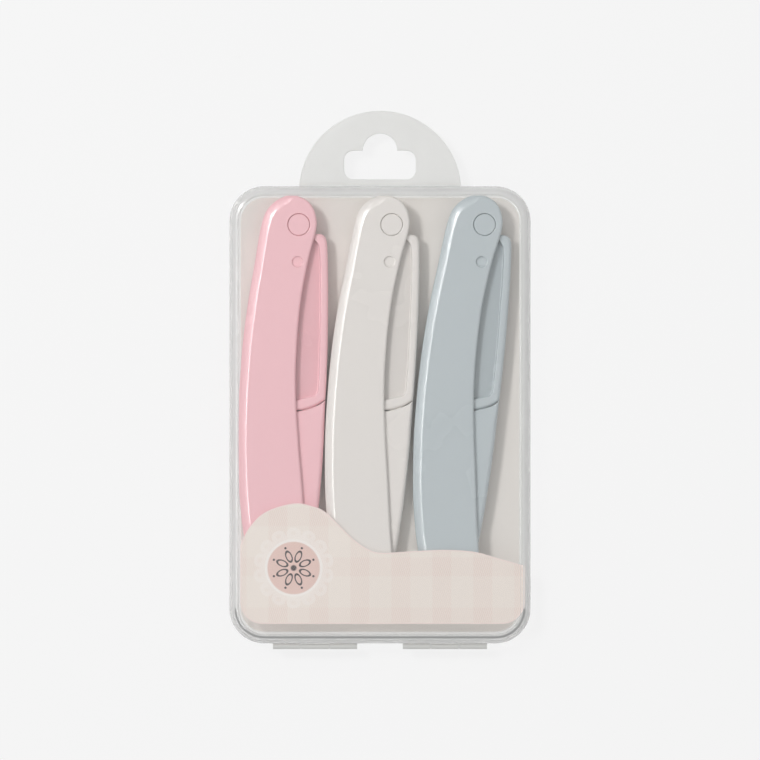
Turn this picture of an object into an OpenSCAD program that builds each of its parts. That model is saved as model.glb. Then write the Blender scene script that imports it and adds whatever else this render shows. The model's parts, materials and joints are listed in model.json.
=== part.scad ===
// Set of three folding eyebrow razors in a clear hinged case with a hang tab.
// The case lies on its back: X runs across it, Y towards the hang tab and Z up out of its front.
// Each razor is drawn about its own pivot, with the grip hanging down along -Y, and then placed.

/* [Case] */
// Gap between the left razor and the tray's lip
left_gap = 0.257; // [0.1:0.001:3]
// Gap between the right razor's arm and the tray's lip
right_gap = 2.05; // [1.6:0.05:5]
// Gap between the grips' heads and the tray's lip
head_end_gap = 0.256; // [0.1:0.001:3]
// Free space between the grips' lower ends and the tray's lip
foot_end_gap = 7.144; // [2:0.001:12]
// Radius of the case's corners
case_corner_r = 8.75; // [5:0.25:11]
// Thickness of the lid's side wall
wall_t = 1.1; // [0.8:0.05:1.15]
// Thickness of the tray's floor
floor_t = 1; // [0.8:0.1:2]
// Thickness of the lid's top
lid_t = 1; // [0.8:0.1:2]
// Thickness of the tray's inner lip, which the lid closes over
lip_t = 0.75; // [0.6:0.05:0.8]
// Height that the lip stands above the seam
lip_rise = 1.6; // [1:0.1:2.2]
// Gap between the lip and the lid's wall
lip_gap = 0.1; // [0.05:0.01:0.15]
// Gap at the seam between tray and lid
seam_gap = 0.1; // [0.05:0.05:0.3]
// Step that breaks the tray's lower edge
case_edge = 0.45; // [0.2:0.05:0.6]
// Rounding of the lid's top edge
lid_round = 2.4; // [0.6:0.1:2.8]

/* [Hinges] */
// Width of one hinge
hinge_w = 21; // [15:0.5:24]
// Distance between the middles of the two hinges
hinge_pitch = 32.4; // [28:0.2:40]
// Radius of a hinge barrel
barrel_r = 0.7; // [0.6:0.05:0.8]
// Distance from the case's wall to the hinge axis
hinge_reach = 0.8; // [0.8:0.05:1]
// Radius of a hinge pin
hinge_pin_r = 0.35; // [0.3:0.01:0.38]
// Running gap between the barrels of one hinge
barrel_gap = 0.1; // [0.05:0.05:0.3]
// Clearance of a hinge pin in its bores
hinge_pin_gap = 0.03; // [0.01:0.01:0.05]

/* [Hang tab] */
// Radius of the half-round tab
tab_r = 20.25; // [18:0.25:24]
// Depth of the tab's centre below the case's top edge
tab_sink = 1.4; // [0.8:0.1:3]
// Thickness of the tab
tab_t = 1; // [0.8:0.1:1.6]
// Width of each of the two feet that plug the tab into the tray
tab_foot_w = 8.7; // [6:0.1:10]
// Distance between the middles of the two feet
tab_foot_pitch = 26; // [24:0.5:28]
// Depth that a foot reaches into the tray's wall
tab_foot_d = 1.3; // [0.8:0.1:1.5]
// Clearance of a foot in its socket
tab_foot_gap = 0.05; // [0.02:0.01:0.1]
// Width of the euro hole
euro_w = 17.9; // [16:0.1:20]
// Height of the euro hole's shoulders
euro_h = 7.2; // [6:0.1:8]
// Radius of the shoulders' corners
euro_corner_r = 2.3; // [1.5:0.1:2.8]
// Radius of the round bump over the middle of the euro hole
euro_bump_r = 4.3; // [3.5:0.1:5]
// Distance from the case's top edge to the euro hole
euro_rise = 1.75; // [1.5:0.05:2.5]

/* [Cards] */
// Thickness of the card behind the razors
backing_t = 0.4; // [0.2:0.1:0.6]
// Gap between the backing card and the tray's lip
backing_gap = 0.75; // [0.2:0.05:0.9]
// Thickness of the front card
front_card_t = 0.3; // [0.2:0.1:0.5]
// Gap between the front card's sides and the lid's walls
front_card_gap = 1.05; // [0.75:0.05:3]
// Distance of the front card to the right of the middle
front_card_shift = 0.6; // [0:0.05:0.7]
// Height of the front card at the top of its wave
front_card_h = 30; // [24:0.5:36]
// Distance from the case's bottom edge to the front card
front_card_rise = 4.95; // [3:0.05:6]
// Radius of the front card's lower corners
front_card_r = 5.6; // [4:0.2:8]
// Gap between the razors and the front card
head_gap = 0.6; // [0.4:0.1:1.2]

/* [Razor grip] */
// Width over the curved grip
grip_w = 19.5; // [18:0.1:23]
// Length of the grip beyond the folded arm and cap, above the pivot and below the cap's tip together
grip_ends = 14.7; // [13:0.1:18]
// Thickness of the grip
grip_t = 6; // [5.4:0.1:8]
// Width of the grip's closed back, behind the slot
grip_back = 3.2; // [2.4:0.1:4]
// Rounding of the grip's long edges
grip_edge = 0.8; // [0.4:0.1:1]
// Radius of the pivot's flush head
pivot_head_r = 2.6; // [2:0.1:3]
// Thickness of the pivot's heads
pivot_head_t = 0.7; // [0.5:0.05:0.8]
// Groove around the pivot's heads
pivot_groove = 0.16; // [0.05:0.01:0.2]
// Radius of the pivot's shaft
pivot_r = 1.6; // [1.2:0.1:2]
// Distance from the pivot to the stop pin
stop_reach = 9.3; // [9:0.1:11]
// Distance of the stop pin to the left of the pivot
stop_shift = 0.3; // [0:0.05:0.4]
// Radius of the stop pin
stop_r = 1; // [0.7:0.05:1.1]
// Clearance of the stop pin in the arm's edge, below and above the pin
stop_gap = 0.275; // [0.27:0.005:0.5]
// Radius of the round dimple over the stop pin
dimple_r = 1.35; // [1.2:0.05:1.6]
// Depth of the dimple
dimple_d = 0.5; // [0.3:0.05:0.7]

/* [Razor arm] */
// Thickness of the arm and the cap
arm_t = 3.4; // [3:0.1:3.6]
// Gap between the arm and each cheek of the slot
slot_gap = 0.2; // [0.15:0.05:0.4]
// Running clearance of the arm on the pivot
pivot_gap = 0.06; // [0.02:0.01:0.12]
// Width from the pivot to the arm's outer edge
arm_w = 7.5; // [7:0.05:7.6]
// Length from the pivot to the seam between arm and cap
arm_l = 46.4; // [38:0.1:58]
// Radius of the arm's eye round the pivot
eye_r = 4; // [3:0.1:4.1]
// Depth of the recessed panel in each face of the arm
panel_d = 1.1; // [0.4:0.05:1.15]
// Width of the rim beside the panel
rim_w = 2; // [1.4:0.1:2.6]
// Height of the rim below the panel
rim_foot = 1.9; // [1.7:0.1:4]
// Thickness of the tongue that carries the blade
tongue_t = 1.8; // [1.4:0.1:2]
// Gap between the cap and the tongue
tongue_gap = 0.15; // [0.1:0.05:0.2]
// Gap at the seam between arm and cap
cap_gap = 0.2; // [0.1:0.05:0.4]
// Length of the cap beyond the blade's end
cap_end = 8.5; // [6.5:0.1:12]
// Height that the tongue starts above the seam
tongue_root = 1.25; // [0.8:0.05:2]
// Length that the blade runs on below the tongue's end
tongue_short = 0.9; // [0:0.1:3]
// Rounding of the arm's and the cap's long edges
arm_edge = 0.4; // [0.2:0.05:0.5]
// Thickness of the blade
blade_t = 0.3; // [0.2:0.05:0.5]
// Distance from the seam to the blade
blade_start = 1.1; // [0.5:0.1:3]
// Length of the blade's edge
blade_l = 32; // [26:0.5:40]
// Width that the blade stands out of the tongue
blade_out = 3; // [2:0.1:3.4]
// Width of the blade held inside the tongue
blade_in = 1.6; // [1:0.1:2]

/* [Placing] */
// Gap between the widest place of an arm and that of the next razor's grip, if none leaned
razor_gap = 0.557; // [0.5:0.001:3]
// Distance that the white razor's lean moves its lower end to the left
white_lean_shift = 2.688; // [2.2:0.01:3]
// Distance that the blue razor's lean moves its lower end to the left
blue_lean_shift = 4.659; // [4.3:0.01:5]
// Distance that the pink arm's deeper fold moves its cap's tip
pink_fold_shift = 0.614; // [0.45:0.001:2]
// Distance that the white arm's deeper fold moves its cap's tip
white_fold_shift = 0.922; // [0.1:0.001:1.4]
// Distance that the blue arm's deeper fold moves its cap's tip
blue_fold_shift = 2.611; // [1:0.001:2.65]

/* [Hidden] */
$fn = 48;
// Overrun of every cut
cut = 0.5;
// Straight pieces of a smooth outline between two of its points
smooth_steps = 3;
// Steps that round a grip's edge, and slopes that round the lid's edge
edge_steps = 2;
lid_edge_steps = 5;

// Parts of the grip's length above and below the pivot, and of its width to the pivot's left
grip_head_share = 0.072;
grip_foot_share = 0.928;
grip_side_share = 0.774;

cap_l = blade_start + blade_l + cap_end;
grip_l = arm_l + cap_l + grip_ends;
rim_t = wall_t + lip_gap + lip_t;
pivot_pitch = arm_w + razor_gap + grip_side_share * grip_w;
pivot_side = rim_t + left_gap + grip_side_share * grip_w;
pivot_drop = rim_t + head_end_gap + grip_head_share * grip_l;
case_w = pivot_side + 2 * pivot_pitch + arm_w + right_gap + rim_t;
case_h = pivot_drop + grip_foot_share * grip_l + foot_end_gap + rim_t;
case_t = floor_t + backing_t + grip_t + head_gap + front_card_t + lid_t;
hinge_z = case_t / 2;
hinge_proud = hinge_reach + barrel_r;
tab_top = tab_r - tab_sink;
case_top = (hinge_proud + case_h + tab_top) / 2 - tab_top;
case_bottom = case_top - case_h;
case_y = (case_top + case_bottom) / 2;
hinge_y = case_bottom - hinge_reach;
base_top = hinge_z - seam_gap / 2;
lid_bottom = hinge_z + seam_gap / 2;
front_card_w = case_w - 2 * (wall_t + front_card_gap);
backing_z = floor_t;
grip_z = backing_z + backing_t;
front_card_z = case_t - lid_t - front_card_t;
grip_middle = grip_z + grip_t / 2;
slot_t = arm_t + 2 * slot_gap;
knuckle_w = (hinge_w - 2 * barrel_gap) / 3;
tab_z = base_top - tab_t - seam_gap;
tab_y = case_top - tab_sink;

pink = "#edbfc6";
white = "#dedcd8";
blue = "#b8c3c6";

// Pivot places across the case, and the leans and folds, clockwise
pink_x = pivot_side - case_w / 2;
white_x = pink_x + pivot_pitch;
blue_x = white_x + pivot_pitch;
pivot_y = case_top - pivot_drop;
white_lean = asin(white_lean_shift / grip_l);
blue_lean = asin(blue_lean_shift / grip_l);
pink_fold = asin(pink_fold_shift / (arm_l + cap_l));
white_fold = asin(white_fold_shift / (arm_l + cap_l));
blue_fold = asin(blue_fold_shift / (arm_l + cap_l));

// Grip outline about the pivot, clockwise from its top, in shares of its width and its length
grip_shares = [
    [-0.097, 0.072], [0.087, 0.061], [0.185, 0.04], [0.226, 0.013], [0.223, -0.01], [0.185, -0.041],
    [0.113, -0.095], [0.021, -0.195], [-0.026, -0.302], [-0.038, -0.399], [-0.013, -0.504],
    [0.033, -0.613], [0.079, -0.73], [0.133, -0.847], [0.051, -0.904], [-0.164, -0.928],
    [-0.41, -0.907], [-0.574, -0.852], [-0.677, -0.779], [-0.749, -0.672], [-0.774, -0.555],
    [-0.772, -0.477], [-0.749, -0.38], [-0.708, -0.282], [-0.641, -0.185], [-0.574, -0.11],
    [-0.513, -0.039], [-0.467, 0.004], [-0.405, 0.035], [-0.282, 0.059]
];
// Height from which the slot is open on both sides, as a share of the grip's length
open_head_share = -0.03;

// Outer edge of the arm, from its top to the seam, in shares of the arm's width and length
arm_edge_shares = [
    [0.45, -0.05], [0.75, -0.05], [0.91, -0.073], [0.96, -0.128], [0.99, -0.255], [1, -0.42],
    [0.995, -0.62], [0.96, -0.83], [0.927, -0.938]
];
// Seam between arm and cap, from the outer edge inwards
seam_shares = [[0.927, -0.938], [0.667, -0.968], [0.32, -0.989], [-0.073, -1], [-0.67, -1.01]];
// Inner edge of the arm, from the seam up to the stop pin
arm_inner_shares = [[-0.67, -1.01], [-0.56, -0.766], [-0.37, -0.553], [-0.1, -0.362]];
// End of the inner edge inside the eye, in shares of the eye's radius
arm_eye_shares = [-0.56, -0.7];
// Points beside the stop pin: below it and above it, in shares of its radius
stop_below_share = 1.13;
stop_above_share = 1.31;
// Outer and inner edge of the cap, in shares of the arm's width and of the cap's length below the seam
cap_outer_shares = [
    [0.895, -0.12], [0.865, -0.245], [0.805, -0.414], [0.71, -0.614], [0.565, -0.828], [0.4, -0.968]
];
cap_inner_shares = [[0.24, -1], [0.03, -0.936], [-0.2, -0.807], [-0.45, -0.571], [-0.65, -0.313]];
// Tongue: its back at the seam and at its end, and its blade side, in shares of the arm's width
tongue_back_share = 0.667;
tongue_end_share = 0.42;
tongue_front_share = 0.17;
// Corner of the panel near the eye
panel_top_share = -0.07;

// Wave along the front card's top edge, from left to right, in shares of its width and height
wave_shares = [
    [-0.5, 0.655], [-0.468, 0.8], [-0.41, 0.93], [-0.313, 1], [-0.245, 0.975], [-0.195, 0.918],
    [-0.106, 0.712], [-0.05, 0.62], [0, 0.59], [0.11, 0.605], [0.22, 0.615], [0.32, 0.6], [0.4, 0.55],
    [0.5, 0.482]
];

// Points of a smooth curve that runs through all the given points
function bend(a, b, c, d, t) =
    (2 * b + (c - a) * t + (2 * a - 5 * b + 4 * c - d) * t * t + (3 * b - a - 3 * c + d) * t * t * t) / 2;
function smooth_loop(p) = [
    for (i = [0:len(p) - 1]) for (k = [0:smooth_steps - 1])
        bend(p[(i + len(p) - 1) % len(p)], p[i], p[(i + 1) % len(p)], p[(i + 2) % len(p)], k / smooth_steps)
];
function smooth_path(p) = [
    for (i = [0:len(p) - 2]) for (k = [0:smooth_steps - 1])
        bend(p[max(i - 1, 0)], p[i], p[i + 1], p[min(i + 2, len(p) - 1)], k / smooth_steps),
    p[len(p) - 1]
];
function scaled(shares, w, l) = [for (s = shares) [s[0] * w, s[1] * l]];

module round_rect(w, h, r) {
    square([w - 2 * r, h], center = true);
    square([w, h - 2 * r], center = true);
    for (x = [-1, 1]) for (y = [-1, 1])
        translate([x * (w / 2 - r), y * (h / 2 - r)]) circle(r);
}

// Outline of the case, drawn in by a given amount all round
module case_plan(inset) {
    translate([0, case_y]) round_rect(case_w - 2 * inset, case_h - 2 * inset, case_corner_r - inset);
}

// Places of the two hinges, at the left end of each
module at_hinges() {
    for (side = [-1, 1])
        translate([side * hinge_pitch / 2 - hinge_w / 2, hinge_y, hinge_z]) children();
}

module barrel(from, width, bore_gap) {
    translate([from, 0, 0]) rotate([0, 90, 0]) difference() {
        cylinder(r = barrel_r, h = width);
        translate([0, 0, -cut]) cylinder(r = hinge_pin_r + bore_gap, h = width + 2 * cut);
    }
}

// Web from a barrel to the wall beside it; side is -1 below the seam and 1 above it
module barrel_web(from, width, side) {
    web_h = barrel_r - seam_gap;
    difference() {
        translate([from, 0, side < 0 ? -barrel_r : seam_gap]) cube([width, hinge_reach + wall_t / 2, web_h]);
        translate([from - cut, 0, 0]) rotate([0, 90, 0])
            cylinder(r = (barrel_r + hinge_pin_r) / 2, h = width + 2 * cut);
    }
}

module case_base() {
    color("#d9dad7", 0.5) {
        difference() {
            union() {
                translate([0, 0, case_edge]) linear_extrude(base_top - case_edge) case_plan(0);
                linear_extrude(base_top) case_plan(case_edge);
                linear_extrude(base_top + lip_rise) case_plan(wall_t + lip_gap);
            }
            translate([0, 0, floor_t]) linear_extrude(case_t) case_plan(rim_t);
            for (side = [-1, 1])
                translate([side * tab_foot_pitch / 2, case_top, tab_z + tab_t / 2])
                    cube([tab_foot_w + 2 * tab_foot_gap, 2 * (tab_foot_d + tab_foot_gap),
                          tab_t + 2 * tab_foot_gap], center = true);
        }
        at_hinges() {
            barrel(0, knuckle_w, hinge_pin_gap);
            barrel(2 * (knuckle_w + barrel_gap), knuckle_w, hinge_pin_gap);
            barrel_web(0, knuckle_w, -1);
            barrel_web(2 * (knuckle_w + barrel_gap), knuckle_w, -1);
        }
    }
}

module case_lid() {
    color("#e4e5e2", 0.3) {
        difference() {
            hull() for (k = [0:lid_edge_steps]) {
                turn = 90 * k / lid_edge_steps;
                translate([0, 0, lid_bottom])
                    linear_extrude(case_t - lid_round * (1 - cos(turn)) - lid_bottom)
                        case_plan(lid_round * (1 - sin(turn)));
            }
            translate([0, 0, lid_bottom - cut]) linear_extrude(case_t - lid_t - lid_bottom + cut)
                case_plan(wall_t);
        }
        at_hinges() {
            barrel(knuckle_w + barrel_gap, knuckle_w, 2 * hinge_pin_gap);
            barrel_web(knuckle_w + barrel_gap, knuckle_w, 1);
        }
    }
}

module hinge_pin(side) {
    color("#c9cac8")
        translate([side * hinge_pitch / 2 - hinge_w / 2, hinge_y, hinge_z]) rotate([0, 90, 0])
            cylinder(r = hinge_pin_r, h = hinge_w);
}

module hinge_pin_left() { hinge_pin(-1); }
module hinge_pin_right() { hinge_pin(1); }

module hang_tab() {
    color("#e0e0de") {
        translate([0, 0, tab_z]) linear_extrude(tab_t) difference() {
            translate([0, tab_y]) circle(tab_r, $fn = 96);
            translate([-tab_r, tab_y - tab_r]) square([2 * tab_r, tab_r + tab_sink]);
            translate([0, case_top + euro_rise + euro_h / 2]) round_rect(euro_w, euro_h, euro_corner_r);
            translate([0, case_top + euro_rise + euro_h]) circle(euro_bump_r);
        }
        for (side = [-1, 1])
            translate([side * tab_foot_pitch / 2 - tab_foot_w / 2, case_top - tab_foot_d, tab_z])
                cube([tab_foot_w, tab_foot_d + euro_rise / 2, tab_t]);
    }
}

module backing_card() {
    color("#e6e0dc")
        translate([0, 0, backing_z]) linear_extrude(backing_t) case_plan(rim_t + backing_gap);
}

module front_card_plan() {
    bottom = case_bottom + front_card_rise;
    translate([front_card_shift, bottom]) intersection() {
        translate([0, front_card_h]) round_rect(front_card_w, 2 * front_card_h, front_card_r);
        polygon(concat(
            [[front_card_w / 2, 0], [-front_card_w / 2, 0]],
            smooth_path(scaled(wave_shares, front_card_w, front_card_h))));
    }
}

module front_card() {
    color("#ead6cf") translate([0, 0, front_card_z]) linear_extrude(front_card_t) front_card_plan();
}

// Puts a razor's piece at its pivot, with the razor's lean
module at_razor(x, lean) {
    translate([x, pivot_y, grip_middle]) rotate([0, 0, -lean]) children();
}

// A flat piece, centred on its middle plane, with its long edges rounded in steps
module rounded_plate(thick, edge, steps) {
    for (k = [0:steps]) {
        turn = 90 * k / steps;
        drop = edge * (1 - cos(turn));
        linear_extrude(thick - 2 * drop, center = true) offset(delta = -edge * (1 - sin(turn))) children();
    }
}

module grip_plan() { polygon(smooth_loop(scaled(grip_shares, grip_w, grip_l))); }

module handle() {
    difference() {
        rounded_plate(grip_t, grip_edge, edge_steps) grip_plan();
        linear_extrude(slot_t, center = true) {
            translate([grip_back, 0]) grip_plan();
            translate([grip_w / 2, 0]) grip_plan();
            translate([-grip_w, open_head_share * grip_l]) square([2 * grip_w, grip_l]);
        }
        cylinder(r = pivot_r, h = grip_t + 2 * cut, center = true);
        translate([-stop_shift, -stop_reach]) cylinder(r = stop_r, h = grip_t + 2 * cut, center = true);
        for (side = [-1, 1]) {
            translate([0, 0, side * grip_t / 2])
                cylinder(r = pivot_head_r + pivot_groove, h = 2 * pivot_head_t, center = true);
            translate([-stop_shift, -stop_reach, side * grip_t / 2])
                cylinder(r = dimple_r, h = 2 * dimple_d, center = true);
        }
    }
}

module pivot_pin() {
    cylinder(r = pivot_r, h = grip_t, center = true);
    for (side = [-1, 1])
        translate([0, 0, side * (grip_t - pivot_head_t) / 2])
            cylinder(r = pivot_head_r, h = pivot_head_t, center = true);
}

module stop_pin() {
    translate([-stop_shift, -stop_reach]) cylinder(r = stop_r, h = grip_t - 2 * dimple_d, center = true);
}

module arm_plan() {
    beside_stop = stop_r - stop_shift + stop_gap;
    circle(eye_r);
    polygon(concat(
        smooth_path(scaled(arm_edge_shares, arm_w, arm_l)),
        smooth_path(scaled(seam_shares, arm_w, arm_l)),
        smooth_path(concat(scaled(arm_inner_shares, arm_w, arm_l), [
            [beside_stop, -stop_reach - stop_below_share * stop_r],
            [beside_stop, -stop_reach + stop_above_share * stop_r],
            arm_eye_shares * eye_r
        ]))));
}

// Recess in the arm's face: the arm's outer edge moved in by the rim, down to the rim's foot
module panel_plan() {
    edge = scaled(arm_edge_shares, arm_w, arm_l);
    foot_y = seam_shares[1][1] * arm_l + rim_foot;
    intersection() {
        translate([-rim_w, 0]) polygon(concat(
            [[-arm_l, panel_top_share * arm_l], [pivot_head_r + rim_w, panel_top_share * arm_l]],
            [for (p = smooth_path(edge)) if (p[1] < 1.5 * panel_top_share * arm_l) p],
            [[-arm_l, -arm_l]]));
        translate([-arm_l, foot_y]) square([2 * arm_l, arm_l]);
    }
}

// Blade tongue, narrower towards its end so that the cap draws off it freely
module tongue_plan(gap) {
    front_x = tongue_front_share * arm_w - gap;
    start_y = tongue_root - arm_l;
    end_y = tongue_short - arm_l - blade_start - blade_l - gap;
    polygon([
        [tongue_back_share * arm_w + gap, start_y],
        [front_x, start_y],
        [front_x, end_y],
        [tongue_end_share * arm_w + gap, end_y]
    ]);
}

// Blade, from a little below the seam; above is how far its outline runs on towards the seam
module blade_plan(gap, above) {
    front_x = tongue_front_share * arm_w;
    root_y = -arm_l - blade_start;
    end_y = root_y - blade_l - gap;
    polygon([
        [front_x + blade_in, root_y + above],
        [front_x - blade_out - gap, root_y + above],
        [front_x - blade_out - gap, root_y],
        [front_x - blade_out / 2 - gap, end_y],
        [front_x + blade_in, end_y]
    ]);
}

module arm() {
    difference() {
        union() {
            rounded_plate(arm_t, arm_edge, 1) arm_plan();
            linear_extrude(tongue_t, center = true) tongue_plan(0);
        }
        for (side = [-1, 1])
            translate([0, 0, side * arm_t / 2]) linear_extrude(2 * panel_d, center = true) panel_plan();
        cylinder(r = pivot_r + pivot_gap, h = arm_t + 2 * cut, center = true);
        linear_extrude(blade_t, center = true) blade_plan(0, 0);
    }
}

module blade() { linear_extrude(blade_t, center = true) blade_plan(0, 0); }

// Points of the cap's edge from its shares, in the reverse order
function cap_edge(shares) =
    smooth_path([for (i = [len(shares) - 1:-1:0]) [shares[i][0] * arm_w, shares[i][1] * cap_l - arm_l]]);

module cap_plan() {
    polygon(concat(
        [for (p = smooth_path(scaled(seam_shares, arm_w, arm_l))) [p[0], p[1] - cap_gap]],
        cap_edge(cap_inner_shares),
        cap_edge(cap_outer_shares)));
}

module cap() {
    difference() {
        rounded_plate(arm_t, arm_edge, 1) cap_plan();
        linear_extrude(tongue_t + 2 * tongue_gap, center = true) {
            tongue_plan(tongue_gap);
            blade_plan(tongue_gap, blade_start + tongue_root);
        }
    }
}

module pink_handle() { color(pink) at_razor(pink_x, 0) handle(); }
module pink_pivot_pin() { color(pink) at_razor(pink_x, 0) pivot_pin(); }
module pink_stop_pin() { color(pink) at_razor(pink_x, 0) stop_pin(); }
module pink_arm() { color(pink) at_razor(pink_x, pink_fold) arm(); }
module pink_blade() { color("#c8ccd0") at_razor(pink_x, pink_fold) blade(); }
module pink_cap() { color(pink) at_razor(pink_x, pink_fold) cap(); }

module white_handle() { color(white) at_razor(white_x, white_lean) handle(); }
module white_pivot_pin() { color(white) at_razor(white_x, white_lean) pivot_pin(); }
module white_stop_pin() { color(white) at_razor(white_x, white_lean) stop_pin(); }
module white_arm() { color(white) at_razor(white_x, white_lean + white_fold) arm(); }
module white_blade() { color("#c8ccd0") at_razor(white_x, white_lean + white_fold) blade(); }
module white_cap() { color(white) at_razor(white_x, white_lean + white_fold) cap(); }

module blue_handle() { color(blue) at_razor(blue_x, blue_lean) handle(); }
module blue_pivot_pin() { color(blue) at_razor(blue_x, blue_lean) pivot_pin(); }
module blue_stop_pin() { color(blue) at_razor(blue_x, blue_lean) stop_pin(); }
module blue_arm() { color(blue) at_razor(blue_x, blue_lean + blue_fold) arm(); }
module blue_blade() { color("#c8ccd0") at_razor(blue_x, blue_lean + blue_fold) blade(); }
module blue_cap() { color(blue) at_razor(blue_x, blue_lean + blue_fold) cap(); }

case_base();
case_lid();
hinge_pin_left();
hinge_pin_right();
hang_tab();
backing_card();
front_card();
pink_handle();
pink_pivot_pin();
pink_stop_pin();
pink_arm();
pink_blade();
pink_cap();
white_handle();
white_pivot_pin();
white_stop_pin();
white_arm();
white_blade();
white_cap();
blue_handle();
blue_pivot_pin();
blue_stop_pin();
blue_arm();
blue_blade();
blue_cap();
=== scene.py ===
"""Set of three folding razors in a clear hinged case, dressed round its packed construction."""

import json
import math
from typing import NamedTuple

import bmesh
import bpy
from bpy.props import FloatProperty, FloatVectorProperty, PointerProperty
from mathutils import Matrix, Vector


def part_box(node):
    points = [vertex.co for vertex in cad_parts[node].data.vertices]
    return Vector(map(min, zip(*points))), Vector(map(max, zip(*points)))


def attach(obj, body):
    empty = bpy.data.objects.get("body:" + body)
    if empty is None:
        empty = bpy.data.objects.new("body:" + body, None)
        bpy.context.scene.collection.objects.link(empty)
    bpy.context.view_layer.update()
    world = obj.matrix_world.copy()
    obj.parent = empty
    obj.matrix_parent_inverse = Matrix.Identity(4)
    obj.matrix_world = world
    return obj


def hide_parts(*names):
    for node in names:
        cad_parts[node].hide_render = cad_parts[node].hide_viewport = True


bl_info = {
    "name": "Folding Razor Set",
    "version": (1, 0, 0),
    "blender": (4, 5, 0),
    "location": "View3D > Sidebar > Razor Set",
    "description": "Builds three folding razors in a clear hinged case with a hang tab",
    "category": "Add Mesh",
}

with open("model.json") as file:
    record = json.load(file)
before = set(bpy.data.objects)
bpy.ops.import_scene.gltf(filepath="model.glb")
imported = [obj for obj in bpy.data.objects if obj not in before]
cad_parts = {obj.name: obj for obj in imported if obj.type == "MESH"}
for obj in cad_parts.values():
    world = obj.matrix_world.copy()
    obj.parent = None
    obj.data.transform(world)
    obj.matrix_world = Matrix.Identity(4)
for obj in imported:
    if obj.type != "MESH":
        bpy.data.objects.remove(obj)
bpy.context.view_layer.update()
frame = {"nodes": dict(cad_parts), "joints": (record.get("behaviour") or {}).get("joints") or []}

MM = 0.001
COLOURS = ("pink", "white", "blue")
# Straight pieces of a smooth outline between two of its points
SMOOTH_STEPS = 5
# Straight pieces of a round corner of the case, and sides of a small round shape
CORNER_STEPS = 16
ROUND_SIDES = 64
# Overrun of every cut
CUT = 0.5 * MM
# Air between two pieces that touch, so that neither face hides the other
AIR = 0.02 * MM
# Least cosine by which a rounding is widened at a sharp corner
MITER_LIMIT = 0.7
# Least angles in degrees of an edge that is shaded sharp, and of one that a softened piece has rounded
SHARP_ANGLE = 35
SOFTEN_ANGLE = 50
# Straight pieces of the rounding of a recess in the grip, and of the rim round the arm's panel
RECESS_STEPS = 3
RIM_STEPS = 4
# Barrels of one hinge
KNUCKLES = 3
# Least upward part of the normal of a level face, and the range of the upward part of the normal of the
# lid's facet that is painted dark as a painted shade line at the hinge side
LEVEL = 0.99
PAINTED_SHADE_SLANT = (-0.95, -0.7)
# Where a rounding starts to change from the left edge's to the right edge's, and over what width, as
# the sideways part of the direction outwards
CHANGE_START = -0.5
CHANGE_WIDTH = 0.9

# Grip outline about the pivot, clockwise from its top, in shares of its width and its length
GRIP_SHARES = (
    (-0.097, 0.072), (0.087, 0.061), (0.185, 0.04), (0.226, 0.013), (0.223, -0.01), (0.185, -0.041),
    (0.113, -0.095), (0.021, -0.195), (-0.026, -0.302), (-0.038, -0.399), (-0.013, -0.504),
    (0.033, -0.613), (0.079, -0.73), (0.133, -0.847), (0.051, -0.904), (-0.164, -0.928),
    (-0.41, -0.907), (-0.574, -0.852), (-0.677, -0.779), (-0.749, -0.672), (-0.774, -0.555),
    (-0.772, -0.477), (-0.749, -0.38), (-0.708, -0.282), (-0.641, -0.185), (-0.574, -0.11),
    (-0.513, -0.039), (-0.467, 0.004), (-0.405, 0.035), (-0.282, 0.059),
)
# Height from which the grip's slot is open on both sides, as a share of its length
OPEN_HEAD_SHARE = -0.03
# Outer edge of the arm, the seam below it and its inner edge, in shares of its width and length
ARM_EDGE_SHARES = (
    (0.45, -0.05), (0.75, -0.05), (0.91, -0.073), (0.96, -0.128), (0.99, -0.255), (1, -0.42),
    (0.995, -0.62), (0.96, -0.83), (0.927, -0.938),
)
SEAM_SHARES = ((0.927, -0.938), (0.667, -0.968), (0.32, -0.989), (-0.073, -1), (-0.67, -1.01))
ARM_INNER_SHARES = ((-0.67, -1.01), (-0.56, -0.766), (-0.37, -0.553), (-0.1, -0.362), (0.13, -0.225),
                    (0.13, -0.172), (-0.3, -0.06))
# Recessed panel of the arm, from its top end down its outer side, across and back, in the same shares
PANEL_SHARES = (
    (0.30, -0.067), (0.50, -0.078), (0.63, -0.101), (0.695, -0.137), (0.73, -0.258), (0.735, -0.425),
    (0.73, -0.628), (0.705, -0.81), (0.68, -0.885), (0.65, -0.905), (0.58, -0.9165), (0.40, -0.926),
    (-0.05, -0.943), (-0.60, -0.9615), (-0.60, -0.6), (-0.35, -0.3), (-0.2, -0.1),
)
# Outer and inner edge of the cap, in shares of the arm's width and of the cap's length below the seam
CAP_OUTER_SHARES = ((0.4, -0.968), (0.565, -0.828), (0.71, -0.614), (0.805, -0.414), (0.865, -0.245),
                    (0.895, -0.12))
CAP_INNER_SHARES = ((-0.65, -0.313), (-0.45, -0.571), (-0.2, -0.807), (0.03, -0.936), (0.24, -1))
# Back of the tongue at the seam and at its end, and its blade side, in shares of the arm's width
TONGUE_SHARES = (0.667, 0.42, 0.17)
# Wave along the front card's top edge, from left to right, in shares of its width and height
WAVE_SHARES = (
    (-0.5, 0.655), (-0.468, 0.8), (-0.41, 0.93), (-0.313, 1), (-0.245, 0.975), (-0.195, 0.918),
    (-0.106, 0.712), (-0.05, 0.62), (0, 0.59), (0.11, 0.605), (0.22, 0.615), (0.32, 0.6), (0.4, 0.55),
    (0.5, 0.482),
)


def linear(code):
    """Gives a screen colour such as #edbfc6 as linear red, green and blue."""
    parts = [int(code[i:i + 2], 16) / 255 for i in (1, 3, 5)]
    return tuple(((c + 0.055) / 1.055) ** 2.4 for c in parts)


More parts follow.
